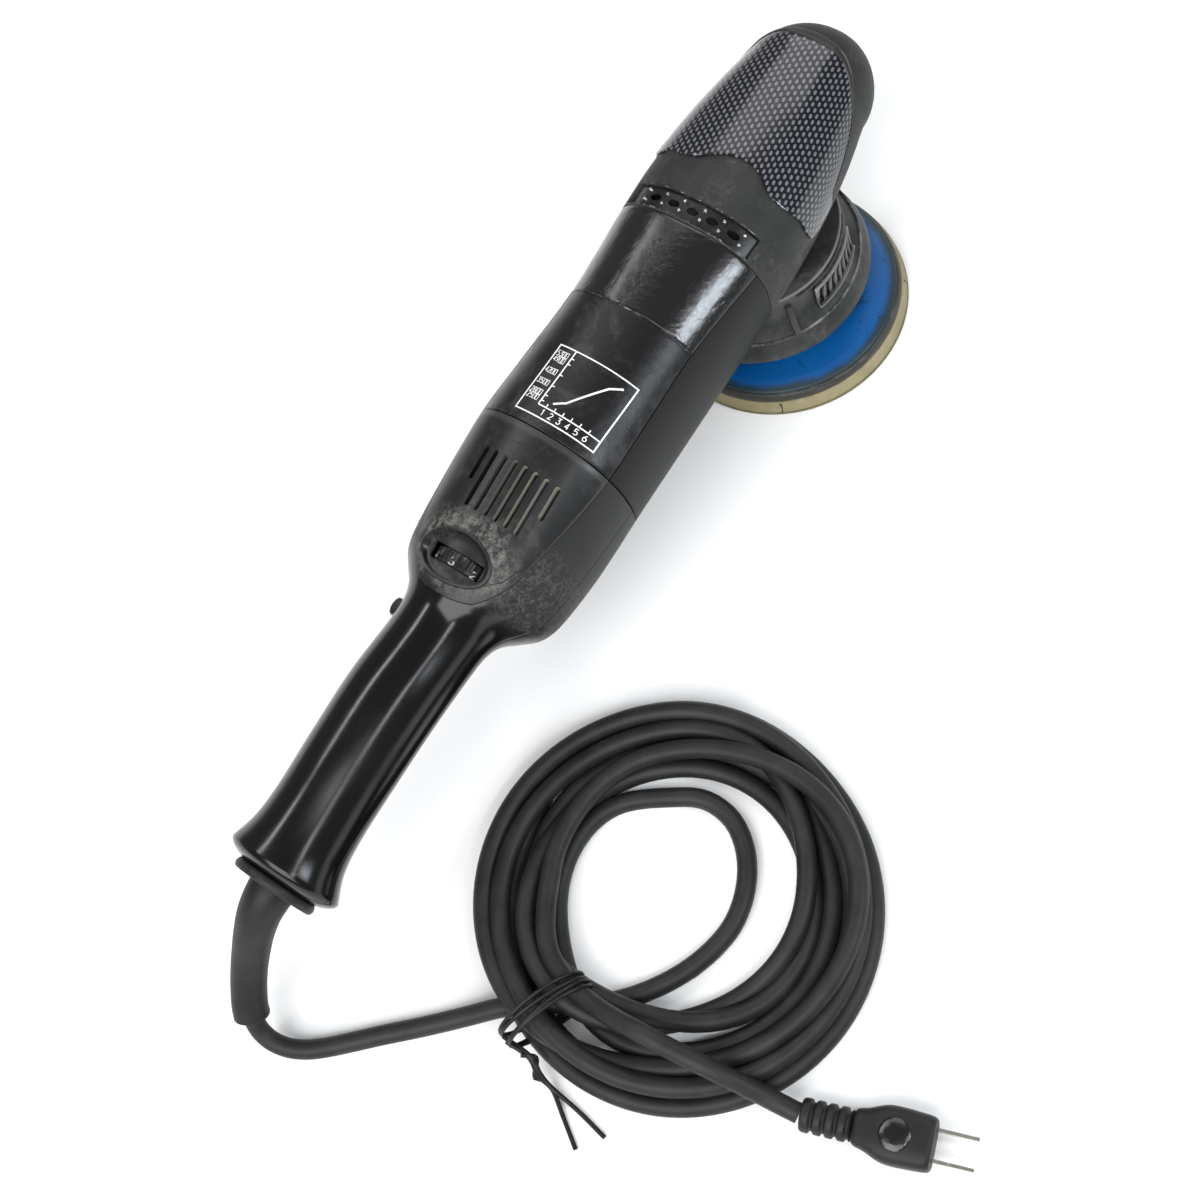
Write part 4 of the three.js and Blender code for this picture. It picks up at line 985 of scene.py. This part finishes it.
def make_nose_insert():
    thick = 0.0012
    angles = spread(-5, 185, 191)
    rows = []
    for u in spread(0, 1, 61):
        rows.append([skin_point(insert_rear(a) + (insert_front(a) - insert_rear(a)) * u, math.radians(a), thick)
                     for a in angles])
    mesh = grid_mesh("woven_panel", rows)
    panel = piece("woven_panel", mesh, weave(), replaces=("nose_insert",))
    thicken(panel, thick - GAP, 0.0005)

    rim_rows = []
    for step, grow in ((0.0, 0.0), (0.0, 0.0010), (0.12, 0.0015), (0.5, 0.0014), (0.88, 0.0009), (1.0, 0.0)):
        row = []
        for a in spread(-2, 182, 185):
            width = 0.0003 + 0.0060 * max(0.0, 1 - abs(a - 90) / 84) ** 0.6
            start = insert_front(a) + 0.0003
            row.append(skin_point(min(start + width * step, 0.0905), math.radians(a), grow))
        rim_rows.append(row)
    rim = piece("panel_rim", grid_mesh("panel_rim", rim_rows), cover_rubber())
    thicken(rim, 0.0006, 0.0002)


def make_exhaust_grille():
    """The band between the cover and the motor, with oval recesses between pairs of pins."""
    edge = math.radians(39.9)
    mesh = skin_strip("exhaust_band", spread(-0.0346, -0.0242, 11), lambda x: edge, lambda x: math.pi - edge,
                      61, -0.0016)
    band = piece("exhaust_band", mesh, satin_black("band_dusty", 0.9),
                 replaces=("exhaust_grille",))
    thicken(band, 0.0016, 0.0003)
    cut(band, [prism("recess", oval(-0.0294, y, 0.0019, 0.0030, 20), 0.09, 0.14)
               for y in (-0.0232, -0.0126, -0.0022, 0.0083, 0.0187)])

    profile = smooth_profile([(0.0, 0.0018), (0.0008, 0.0017), (0.0009, 0.0), (0.0, 0.0)], 0.0003)
    shape = bmesh.new()
    for y in (0.024, 0.0133, 0.0034, -0.0079, -0.0179, -0.028):
        for x in (-0.0268, -0.0319):
            foot = on_top(x, y, -0.0018)
            lean = (on_top(x, y, -0.0004) - foot).to_track_quat("Z", "Y").to_matrix().to_4x4()
            pin = lathe_mesh("pin", profile, sides=16)
            pin.transform(Matrix.Translation(foot) @ lean)
            shape.from_mesh(pin)
    settle(piece("band_pins", baked(shape, "band_pins"),
                 metal("pin_metal", (0.6, 0.6, 0.58), (0.3, 0.3, 0.29))))


# ---------------------------------------------------------------- motor housing


def skin_strip(name, xs, low_turn, high_turn, columns, grow=0.0):
    """A patch of the skin between two turns, each a function of x."""
    rows = [[skin_point(x, turn, grow) for turn in spread(low_turn(x), high_turn(x), columns)] for x in xs]
    return grid_mesh(name, rows)


def over_turn(x):
    """The left-hand turn at the motor panel's edge."""
    return turn_at_height(x, PANEL_EDGE_Z)


def under_turn(x):
    """The left-hand turn at the side pad's upper edge."""
    return turn_at_height(x, PANEL_EDGE_Z - GAP)


def make_motor_panels():
    """The gloss panel, the label over its rear part, and the two side pads."""
    front, rear = COVER_REAR_X - GAP, REAR_SEAM_X + GAP
    step, sunk = -0.0828, 0.0003
    parts = [
        ("motor_panel_gloss", gloss_black(), ("top_panel",), spread(step, front, 30), 0.0, 0.0004),
        ("motor_panel_label", label_black(), (), spread(rear, step - 0.0001, 40), sunk, 0.0003),
    ]
    for name, material, nodes, xs, depth, rim in parts:
        mesh = skin_strip(name, xs, over_turn, lambda x: math.pi - over_turn(x), 61, -depth)
        thicken(piece(name, mesh, material, replaces=nodes), PANEL - depth, rim)
    material = pad_grey()
    pads = [("left", lambda x: -math.pi / 2 + 0.002, under_turn),
            ("right", lambda x: math.pi - under_turn(x), lambda x: math.pi * 1.5 - 0.002)]
    for side, low, high in pads:
        mesh = skin_strip("motor_pad_" + side, spread(rear, front, 60), low, high, 49)
        thicken(piece("motor_pad_" + side, mesh, material, replaces=("side_pad_" + side,)),
                PANEL, 0.0004)


def make_worn_edges():
    """Thin lines worn pale along the label's step and the two edges of the exhaust band."""
    material = rubbed("worn_edge", 160, 0.52, 0.60, (0.010, 0.010, 0.0105), (0.26, 0.26, 0.25), 0.35, 900)
    for name, x, left, right, width in (
        ("worn_step", -0.0832, 0.024, -0.034, 0.0005),
        ("worn_band_front", -0.0238, 0.031, -0.031, 0.0003),
        ("worn_band_rear", -0.0352, 0.033, -0.033, 0.0004),
    ):
        printed(name, [([(x, y) for y in spread(left, right, 40)], width)], 0.00005, material)


# ---------------------------------------------------------------- printed chart

DIGITS = {
    "0": [[(0, 0), (4, 0), (4, 7), (0, 7), (0, 0)]],
    "1": [[(1, 5.6), (2.4, 7), (2.4, 0)]],
    "2": [[(0, 5.8), (1, 7), (3, 7), (4, 5.8), (4, 4.8), (0, 0), (4, 0)]],
    "3": [[(0, 7), (4, 7), (1.8, 4.2), (3.2, 4), (4, 2.8), (4, 1.2), (3, 0), (1, 0), (0, 1.2)]],
    "4": [[(3, 0), (3, 7), (0, 2), (4, 2)]],
    "5": [[(4, 7), (0.4, 7), (0.2, 3.8), (2.4, 4.4), (4, 3.2), (4, 1.4), (2.8, 0), (0, 0.4)]],
    "6": [[(3.2, 7), (0.4, 3.6), (0, 1.6), (1, 0), (3, 0), (4, 1.4), (3.8, 3), (2.4, 4), (0.4, 3.6)]],
    "8": [[(0.6, 3.8), (0.2, 5.4), (1, 7), (3, 7), (3.8, 5.4), (3.4, 3.8), (0.6, 3.8), (0, 1.8), (1, 0),
           (3, 0), (4, 1.8), (3.4, 3.8)]],
    "9": [[(0.8, 0), (3.6, 3.4), (4, 5.4), (3, 7), (1, 7), (0, 5.6), (0.4, 4), (1.8, 3.2), (3.6, 3.4)]],
}


def stroke(shape, points, width, lift):
    """A flat printed line over the upper skin, through (x, y) points."""
    dense = []
    for (x0, y0), (x1, y1) in zip(points, points[1:]):
        count = max(1, round(math.hypot(x1 - x0, y1 - y0) / 0.0015))
        dense += [(x0 + (x1 - x0) * i / count, y0 + (y1 - y0) * i / count) for i in range(count)]
    dense.append(points[-1])
    closed = (Vector(points[0]) - Vector(points[-1])).length < 1e-7
    flat = [Vector(p) for p in dense]
    edges = []
    for i, point in enumerate(flat):
        before = flat[i - 1] if i else (flat[-2] if closed else point)
        after = flat[i + 1] if i + 1 < len(flat) else (flat[1] if closed else point)
        into, out = (point - before), (after - point)
        into = into.normalized() if into.length > 1e-9 else out.normalized()
        out = out.normalized() if out.length > 1e-9 else into
        ahead = (into + out).normalized() if (into + out).length > 1e-6 else out
        reach = Vector((-ahead.y, ahead.x)) * width / 2 * (1 / max(abs(ahead.dot(out)), 0.5))
        edges.append([point + reach, point - reach])
    top = [[on_top(p.x, p.y, lift) for p in pair] for pair in edges]
    low = [[on_top(p.x, p.y, lift - 0.00012) for p in pair] for pair in edges]
    corners = [[shape.verts.new(p) for p in (*a, *reversed(b))] for a, b in zip(top, low)]
    for here, there in zip(corners, corners[1:]):
        for k in range(4):
            shape.faces.new((here[k], here[(k + 1) % 4], there[(k + 1) % 4], there[k]))
    if not closed:
        shape.faces.new(list(reversed(corners[0])))
        shape.faces.new(corners[-1])


def printed(name, lines, lift, material):
    """A piece of printed lines, each as its points and its width."""
    shape = bmesh.new()
    for points, width in lines:
        stroke(shape, points, width, lift)
    bmesh.ops.recalc_face_normals(shape, faces=shape.faces)
    piece(name, baked(shape, name), material)


def make_chart():
    """A generic speed chart: a box, two axes with ticks, a rising curve and the dial's numbers."""
    rear, front, left, right = -0.1462, -0.1115, 0.0138, -0.0270
    axis_x, axis_y = -0.1408, 0.0046
    lines = [
        ([(rear, left), (front, left), (front, right), (rear, right), (rear, left)], 0.0006),
        ([(front, axis_y), (axis_x, axis_y)], 0.0006),
        ([(axis_x, axis_y), (axis_x, right)], 0.0006),
        ([(-0.1378, -0.0014), (-0.1346, -0.0064), (-0.1190, -0.0178), (-0.1155, -0.0226)], 0.0009),
    ]
    for k in range(6):
        y = axis_y - 0.0042 - k * 0.0044
        lines.append(([(axis_x, y), (axis_x + 0.0018, y)], 0.0005))
        lines += digit_lines(str(k + 1), axis_x - 0.0040, y + 0.0008, 0.00040, 0.00036)
    for x, speed in ((-0.1386, "2500"), (-0.1358, "2800"), (-0.1306, "3500"), (-0.1246, "4200"),
                     (-0.1186, "4900"), (-0.1156, "5300")):
        lines.append(([(x, axis_y), (x, axis_y - 0.0016)], 0.0005))
        lines += digit_lines(speed, x - 0.0011, axis_y + 0.0081, 0.00029, 0.00025, 1.28)
    printed("speed_chart", lines, 0.00002, print_white())


def digit_lines(text, x, y, unit, width, tall=1.0):
    """Digits read from the nose end, running to the right, with their feet at x."""
    return [([(x + v * unit * tall, y - (u + k * 5.6) * unit) for u, v in line], width)
            for k, letter in enumerate(text) for line in DIGITS[letter]]


# ---------------------------------------------------------------- rear cap and speed dial


def cap_side(x):
    """Half width of the rear cap's outline at x, from above."""
    at_edge = abs(skin_point(x, turn_at_height(x, PANEL_EDGE_Z)).y)
    if x > CAP_END_X:
        return at_edge
    part = min((CAP_END_X - x) / CAP_REACH, 1.0)
    return min(at_edge, CAP_HALF * math.sqrt(1 - part**2))


def cap_turn(x):
    return turn_at_side(x, max(cap_side(x), 1e-4))


def make_rear_cap():
    """The cap with its vents and the room for the dial, its moulded groove, and a dark baffle below."""
    front, rear, rows = REAR_SEAM_X - GAP, CAP_END_X - CAP_REACH, 64
    xs = [front + (rear - front) * math.sin(i / rows * math.pi / 2) ** 0.9 for i in range(rows)]
    xs.append(rear + 1e-5)
    mesh = skin_strip("cap_shell", xs[::-1], cap_turn, lambda x: math.pi - cap_turn(x), 61)
    cap = piece("cap_shell", mesh, cap_black(), replaces=("rear_cap",))
    thicken(cap, SKIN, 0.0005)
    cutters = [prism("vent", slot_outline(-0.1835 if k in (0, 7) else -0.1946, -0.1672, 0.0144 - 0.0054 * k,
                                          0.0011), 0.10, 0.14) for k in range(8)]
    cutters.append(prism("dial_room", oval(DIAL.x, DIAL.y, 0.0118, 0.0190, 64), 0.10, 0.14))
    cut(cap, cutters)

    groove = [(-0.1625, 0.0200), (-0.1600, 0.0), (-0.1605, -0.0300), (-0.1720, -0.0308),
              (-0.1870, -0.0300), (-0.2020, -0.0278), (-0.2140, -0.0230), (-0.2235, -0.0140)]
    printed("cap_groove", [(groove, 0.0005)], 0.00006, tie_black())
    rows = [[on_top(x, y, -0.0042) for y in spread(0.024, -0.028, 23)] for x in spread(-0.198, -0.164, 13)]
    baffle = piece("vent_baffle", grid_mesh("vent_baffle", rows), satin_black("baffle_dusty", 0.4))
    thicken(baffle, 0.0010, 0.0002)


def make_dial():
    """An oval ring round a dished plate with a window over the numbered wheel."""
    steps = [(1.00, -0.0030), (1.00, 0.0002), (0.98, 0.0010), (0.945, 0.0012), (0.905, 0.0009),
             (0.88, -0.0004), (0.86, -0.0017), (0.78, -0.0022), (0.60, -0.0023), (0.40, -0.0023),
             (0.20, -0.0023), (0.02, -0.0023)]
    rows = [[on_top(DIAL.x + 0.0117 * reach * math.cos(t), DIAL.y + 0.0189 * reach * math.sin(t), grow)
             for t in turns(96)] for reach, grow in steps]
    ring = piece("dial_ring", grid_mesh("dial_ring", rows, closed=True), satin_black("ring_dusty", 0.9),
                 replaces=("dial_bezel",))
    solidify(ring, 0.0012)
    settle(ring)
    window = [(-0.2202, -0.0132), (-0.2130, -0.0132), (-0.2130, 0.0136), (-0.2202, 0.0136)]
    cut(ring, [prism("window", window, 0.095, 0.14)])

    half = 0.0033
    steps = [(-half, 0.0026), (-half, 0.0140), (-half + 0.0005, 0.0146), (-0.0012, 0.0146),
             (-0.0010, 0.0150), (half - 0.0004, 0.0150), (half, 0.0146), (half, 0.0026), (-half, 0.0026)]
    rows = []
    for x, radius in steps:
        row = []
        for j, turn in enumerate(turns(120)):
            notched = radius - (0.0006 if j % 4 < 2 and radius > 0.0149 else 0.0)
            row.append(Vector((-0.2166 + x, DIAL.y + notched * math.cos(turn),
                               DIAL.z + notched * math.sin(turn))))
        rows.append(row)
    wheel = piece("dial_wheel", outward(grid_mesh("dial_wheel", rows, closed=True)),
                  satin_black("wheel_black", 0.35), "speed_wheel", replaces=("speed_wheel",))
    settle(wheel, 30)
    make_dial_numbers()


def make_dial_numbers():
    """Numbers 1 to 6 round the wheel's rim, 3 on top at rest."""
    shape = bmesh.new()
    unit, radius = 0.00060, 0.01462
    for number in range(1, 7):
        middle = math.radians(90 - (number - 3) * 45)
        for line in DIGITS[str(number)]:
            strip = []
            for (u0, v0), (u1, v1) in zip(line, line[1:]):
                strip += [(u0 + (u1 - u0) * i / 3, v0 + (v1 - v0) * i / 3) for i in range(3)]
            strip.append(line[-1])
            for start, end in zip(strip, strip[1:]):
                ahead = (Vector(end) - Vector(start)).normalized()
                side = Vector((-ahead.y, ahead.x)) * 0.55
                quad = []
                for u, v in (start, end):
                    for sign in (1, -1):
                        turn = middle + (u + side.x * sign - 2) * unit / radius
                        x = -0.2180 + (v + side.y * sign - 3.5) * unit * 0.72
                        quad.append(shape.verts.new((x, DIAL.y + radius * math.cos(turn),
                                                     DIAL.z + radius * math.sin(turn))))
                shape.faces.new((quad[0], quad[1], quad[3], quad[2]))
    bmesh.ops.solidify(shape, geom=shape.faces[:], thickness=0.0001)
    bmesh.ops.recalc_face_normals(shape, faces=shape.faces)
    piece("dial_numbers", baked(shape, "dial_numbers"), print_white(), "speed_wheel")


# ---------------------------------------------------------------- handle


def make_handle():
    """The two half shells, cut for the rear cap, the trigger and the screws."""
    material = body_black()
    xs = [BUTT_START_X - BUTT_LENGTH * math.sin(math.radians(a)) for a in (89.5, *range(80, 0, -10))]
    xs += spread(BUTT_START_X, REAR_SEAM_X - GAP, 150)

    def shell(half, low, high):
        name = "handle_shell_" + half
        mesh = skin_strip(name, xs, low, high, 81)
        return thicken(piece(name, mesh, material, replaces=("handle_" + half,)), SKIN, 0.0004)

    def parting(x, side):
        return turn_at_height(x, PARTING_Z + side * GAP / 2)

    upper = shell("upper", lambda x: parting(x, 1), lambda x: math.pi - parting(x, 1))
    outline = [(x, -cap_side(x) - GAP) for x in spread(CAP_END_X, REAR_SEAM_X + 0.01, 30)]
    outline += [(x, -y) for x, y in reversed(outline)]
    for degrees in spread(90, 270, 61)[1:-1]:
        angle = math.radians(degrees)
        outline.append((CAP_END_X + (CAP_REACH + GAP) * math.cos(angle), (CAP_HALF + GAP) * math.sin(angle)))
    cut(upper, [prism("cap_room", outline, PANEL_EDGE_Z - GAP, 0.14)])
    lower = shell("lower", lambda x: math.pi - parting(x, -1), lambda x: 2 * math.pi + parting(x, -1))
    trigger_slot = [(-0.319, -0.0095), (-0.2505, -0.0095), (-0.2505, 0.0095), (-0.319, 0.0095)]
    screw_holes = [oval(x, 0.0, 0.0037, 0.0037, 24) for x in (-0.205, -0.338)]
    cut(lower, [prism("hole", hole, 0.03, 0.0745) for hole in (trigger_slot, *screw_holes)])


# ---------------------------------------------------------------- shroud and plate

SHROUD_PROFILE = [
    (0.0260, 0.0640), (0.0420, 0.0640), (0.0422, 0.0490), (0.0480, 0.0415), (0.0516, 0.0366),
    (0.0522, 0.0310), (0.0540, 0.0310), (0.0542, 0.0330), (0.0532, 0.0364), (0.0504, 0.0412),
    (0.0506, 0.0425), (0.0492, 0.0438), (0.0448, 0.0486), (0.0442, 0.0610), (0.0442, 0.0660),
    (0.0260, 0.0660), (0.0260, 0.0640),
]
SHROUD_WALL = [(0.0430, 0.0500), (0.0438, 0.0492), (0.0486, 0.0448), (0.0550, 0.0443), (0.0610, 0.0442)]


def shroud_radius(z):
    return float(np.interp(z, *zip(*SHROUD_WALL)))


def make_shroud():
    """The rubber bell, the ridge round its waist with a painted highlight, and its two louvres."""
    material = shroud_rubber()
    bell = outward(lathe_mesh("shroud_bell", smooth_profile(SHROUD_PROFILE, 0.0012), sides=160))
    settle(piece("shroud_bell", bell, material, replaces=("shroud",)))
    ridge = oval(0.0505, 0.0430, 0.0006, 0.0006, 8)
    mesh = outward(lathe_mesh("shroud_ridge", [*ridge, ridge[0]], sides=160))
    # The pale ring on the ridge is a painted highlight, broken up in patches.
    worn = rubbed("ridge_painted_highlight", 55, 0.40, 0.62, (0.03, 0.031, 0.03), (0.24, 0.24, 0.225), 0.5, 700)
    settle(piece("shroud_ridge", mesh, worn))
    make_louvre("louvre_right", -1, material)
    make_louvre("louvre_left", 1, material)


def make_louvre(name, side, material):
    """A raised frame of slanted bars on the shroud's wall, with a ledge above and a web behind."""
    columns = [-105.0]
    for _ in range(8):
        columns += [columns[-1] + 2.0, columns[-1] + 5.4]
    columns.append(columns[-1] + 2.0)
    last = len(columns) - 2
    rows = []
    for z in (0.0468, 0.0484, 0.0515, 0.0550, 0.0586, 0.0600):
        radius = shroud_radius(z) + 0.0016
        row = []
        for column in columns:
            angle = math.radians(column + 100 * (z - 0.0535) * (3.0 if column > -104 else 0.6))
            row.append(Vector((radius * math.cos(angle), -side * radius * math.sin(angle), z)))
        rows.append(row if side < 0 else row[::-1])

    def between_bars(i, j):
        return 0 < i < 4 and 0 < j < last and (j if side < 0 else last - j) % 2 == 1

    bars = piece(name, outward(grid_mesh(name, rows, drop=between_bars)), material)
    solidify(bars, 0.0014, 0)
    round_edges(bars, 0.0003, 2, 50)
    settle(bars)
    ledge = [(0.0441, 0.0622), (0.0450, 0.0625), (0.0453, 0.0632), (0.0450, 0.0640), (0.0441, 0.0643)]
    rows = []
    for degrees in spread(-116, -52, 33):
        angle = math.radians(degrees)
        rows.append([Vector((r * math.cos(angle), -side * r * math.sin(angle), z)) for r, z in ledge])
    mesh = outward(grid_mesh(name + "_ledge", rows))
    settle(piece(name + "_ledge", mesh, satin_black("ledge_dusty", 0.9)))
    web = prism("web", [(0.0435, 0.0605), (0.0462, 0.0600), (0.0512, 0.0432), (0.0440, 0.0440)],
                -0.0016, 0.0016, 0.0005)
    mesh = web.data.copy()
    bpy.data.objects.remove(web)
    mesh.transform(Matrix.Rotation(math.radians(123 * side), 4, "Z") @ Matrix.Rotation(math.pi / 2, 4, "X"))
    settle(piece(name + "_web", mesh, satin_black("web_dusty", 0.8)))


def make_plate():
    """The blue plate, its rim, the foam and the worn hook layer, with marks in the foam."""
    layers = [
        ("plate_top", [(0.0, 0.0139), (0.0572, 0.0139), (0.0582, 0.0143), (0.0576, 0.0152), (0.052, 0.0170),
                       (0.040, 0.0186), (0.028, 0.0199), (0.015, 0.0216), (0.012, 0.0260), (0.0043, 0.0260),
                       (0.0043, 0.0160), (0.0, 0.0160)], plate_blue(), "plate_blue", "backing_plate"),
        ("plate_ring", [(0.0, 0.0093), (0.0602, 0.0093), (0.0598, 0.0115), (0.0592, 0.0128),
                        (0.0582, 0.0136), (0.0, 0.0136)], rim_grey(), "rim_grey", "plate_rim"),
        ("plate_foam", [(0.0, 0.0020), (0.0622, 0.0020), (0.0622, 0.0035), (0.0618, 0.0055),
                        (0.0606, 0.0088), (0.0600, 0.0090), (0.0, 0.0090)], foam(), "foam", "foam_layer"),
        ("plate_hook", [(0.0, 0.0), (0.0620, 0.0), (0.0625, 0.0004), (0.0625, 0.0014), (0.0620, 0.0017),
                        (0.0, 0.0017)], foam("hook_pile_worn", 0.55), "hook_pile", "hook_layer"),
    ]
    for name, corners, material, slot, node in layers:
        mesh = outward(lathe_mesh(name, smooth_profile(corners, 0.0005, 3), (0, PLATE_Y), 192))
        settle(piece(name, mesh, material, "plate", replaces=(node,)))
    shape = bmesh.new()
    centre = Vector((0, PLATE_Y, 0.0022))
    for degrees, height in ((-147, 0.0062), (-55, 0.0052), (-48, 0.0034), (75, 0.0058), (160, 0.0050)):
        angle = math.radians(degrees)
        away = Vector((math.cos(angle), math.sin(angle), 0))
        across = Vector((-math.sin(angle), math.cos(angle), 0))
        foot = centre + away * 0.0621
        top = centre + Vector((0, 0, height)) + away * (0.0621 - 0.0012 * height / 0.006)
        middle = foot + across * 0.0006 + (top - foot) * 0.5
        shape.from_mesh(tube_mesh("mark", [foot, middle, top], 0.00045, 8))
    settle(piece("foam_marks", baked(shape, "foam_marks"), tie_black(), "plate"))


# ---------------------------------------------------------------- finishes of the carried-over nodes


def paint_inner_nodes():
    steel = metal("ground_steel", (0.42, 0.43, 0.45), (0.22, 0.225, 0.235))
    cast = metal("cast_aluminium", (0.62, 0.62, 0.63), (0.38, 0.38, 0.39), (0.45, 0.65), grain=220)
    brass = metal("pressed_brass", (0.72, 0.5, 0.18), (0.45, 0.29, 0.08))
    nickel = metal("nickel_plate", (0.80, 0.77, 0.70), (0.55, 0.52, 0.46), (0.16, 0.32))
    nylon = moulded("glass_filled_nylon", (0.06, 0.062, 0.066), (0.032, 0.033, 0.036))
    carbon = moulded("pressed_carbon", (0.022, 0.022, 0.023), (0.010, 0.010, 0.011), (0.6, 0.85))
    board = moulded("circuit_board_green", (0.03, 0.16, 0.06), (0.012, 0.08, 0.03), (0.35, 0.55))
    satin = satin_black("trigger_black", 0.3)
    wire = banded("copper_wire", 260, 0.6, (0.30, 0.09, 0.03), (0.75, 0.32, 0.12), (0.45, 0.28), 0.5, 0.0004)
    sheets = banded("laminated_steel", 320, 0.0, (0.07, 0.07, 0.075), (0.22, 0.22, 0.23), (0.55, 0.38), 0.3,
                    0.0003)
    finishes = {
        "gear_case": cast, "bearing_bracket": cast, "motor_housing": nylon, "switch_body": nylon,
        "cord_clamp": nylon, "cooling_fan": nylon, "speed_board": board, "field_stator": sheets,
        "armature_core": sheets, "commutator": wire, "brush_holder_left": brass,
        "brush_holder_right": brass, "carbon_brush_left": carbon, "carbon_brush_right": carbon,
        "plug_blade_left": nickel, "plug_blade_right": nickel, "trigger": satin, "lock_button": satin,
    }
    finishes |= {name: wire for name in NODES if "winding" in name}
    for name, node in NODES.items():
        if not node.hide_render:
            node.data.materials.clear()
            node.data.materials.append(finishes.get(name, steel))


# ---------------------------------------------------------------- the whole object

make_camera()
make_studio()
cord, cord_path = make_cord()
boot = make_boot()
plug_pieces = make_plug()
tie = make_tie()
round(path_length(cord_path), 3)
make_head_cover()
make_nose_insert()
make_exhaust_grille()
make_motor_panels()
make_worn_edges()
make_chart()
make_rear_cap()
make_dial()
make_handle()
make_shroud()
make_plate()
paint_inner_nodes()
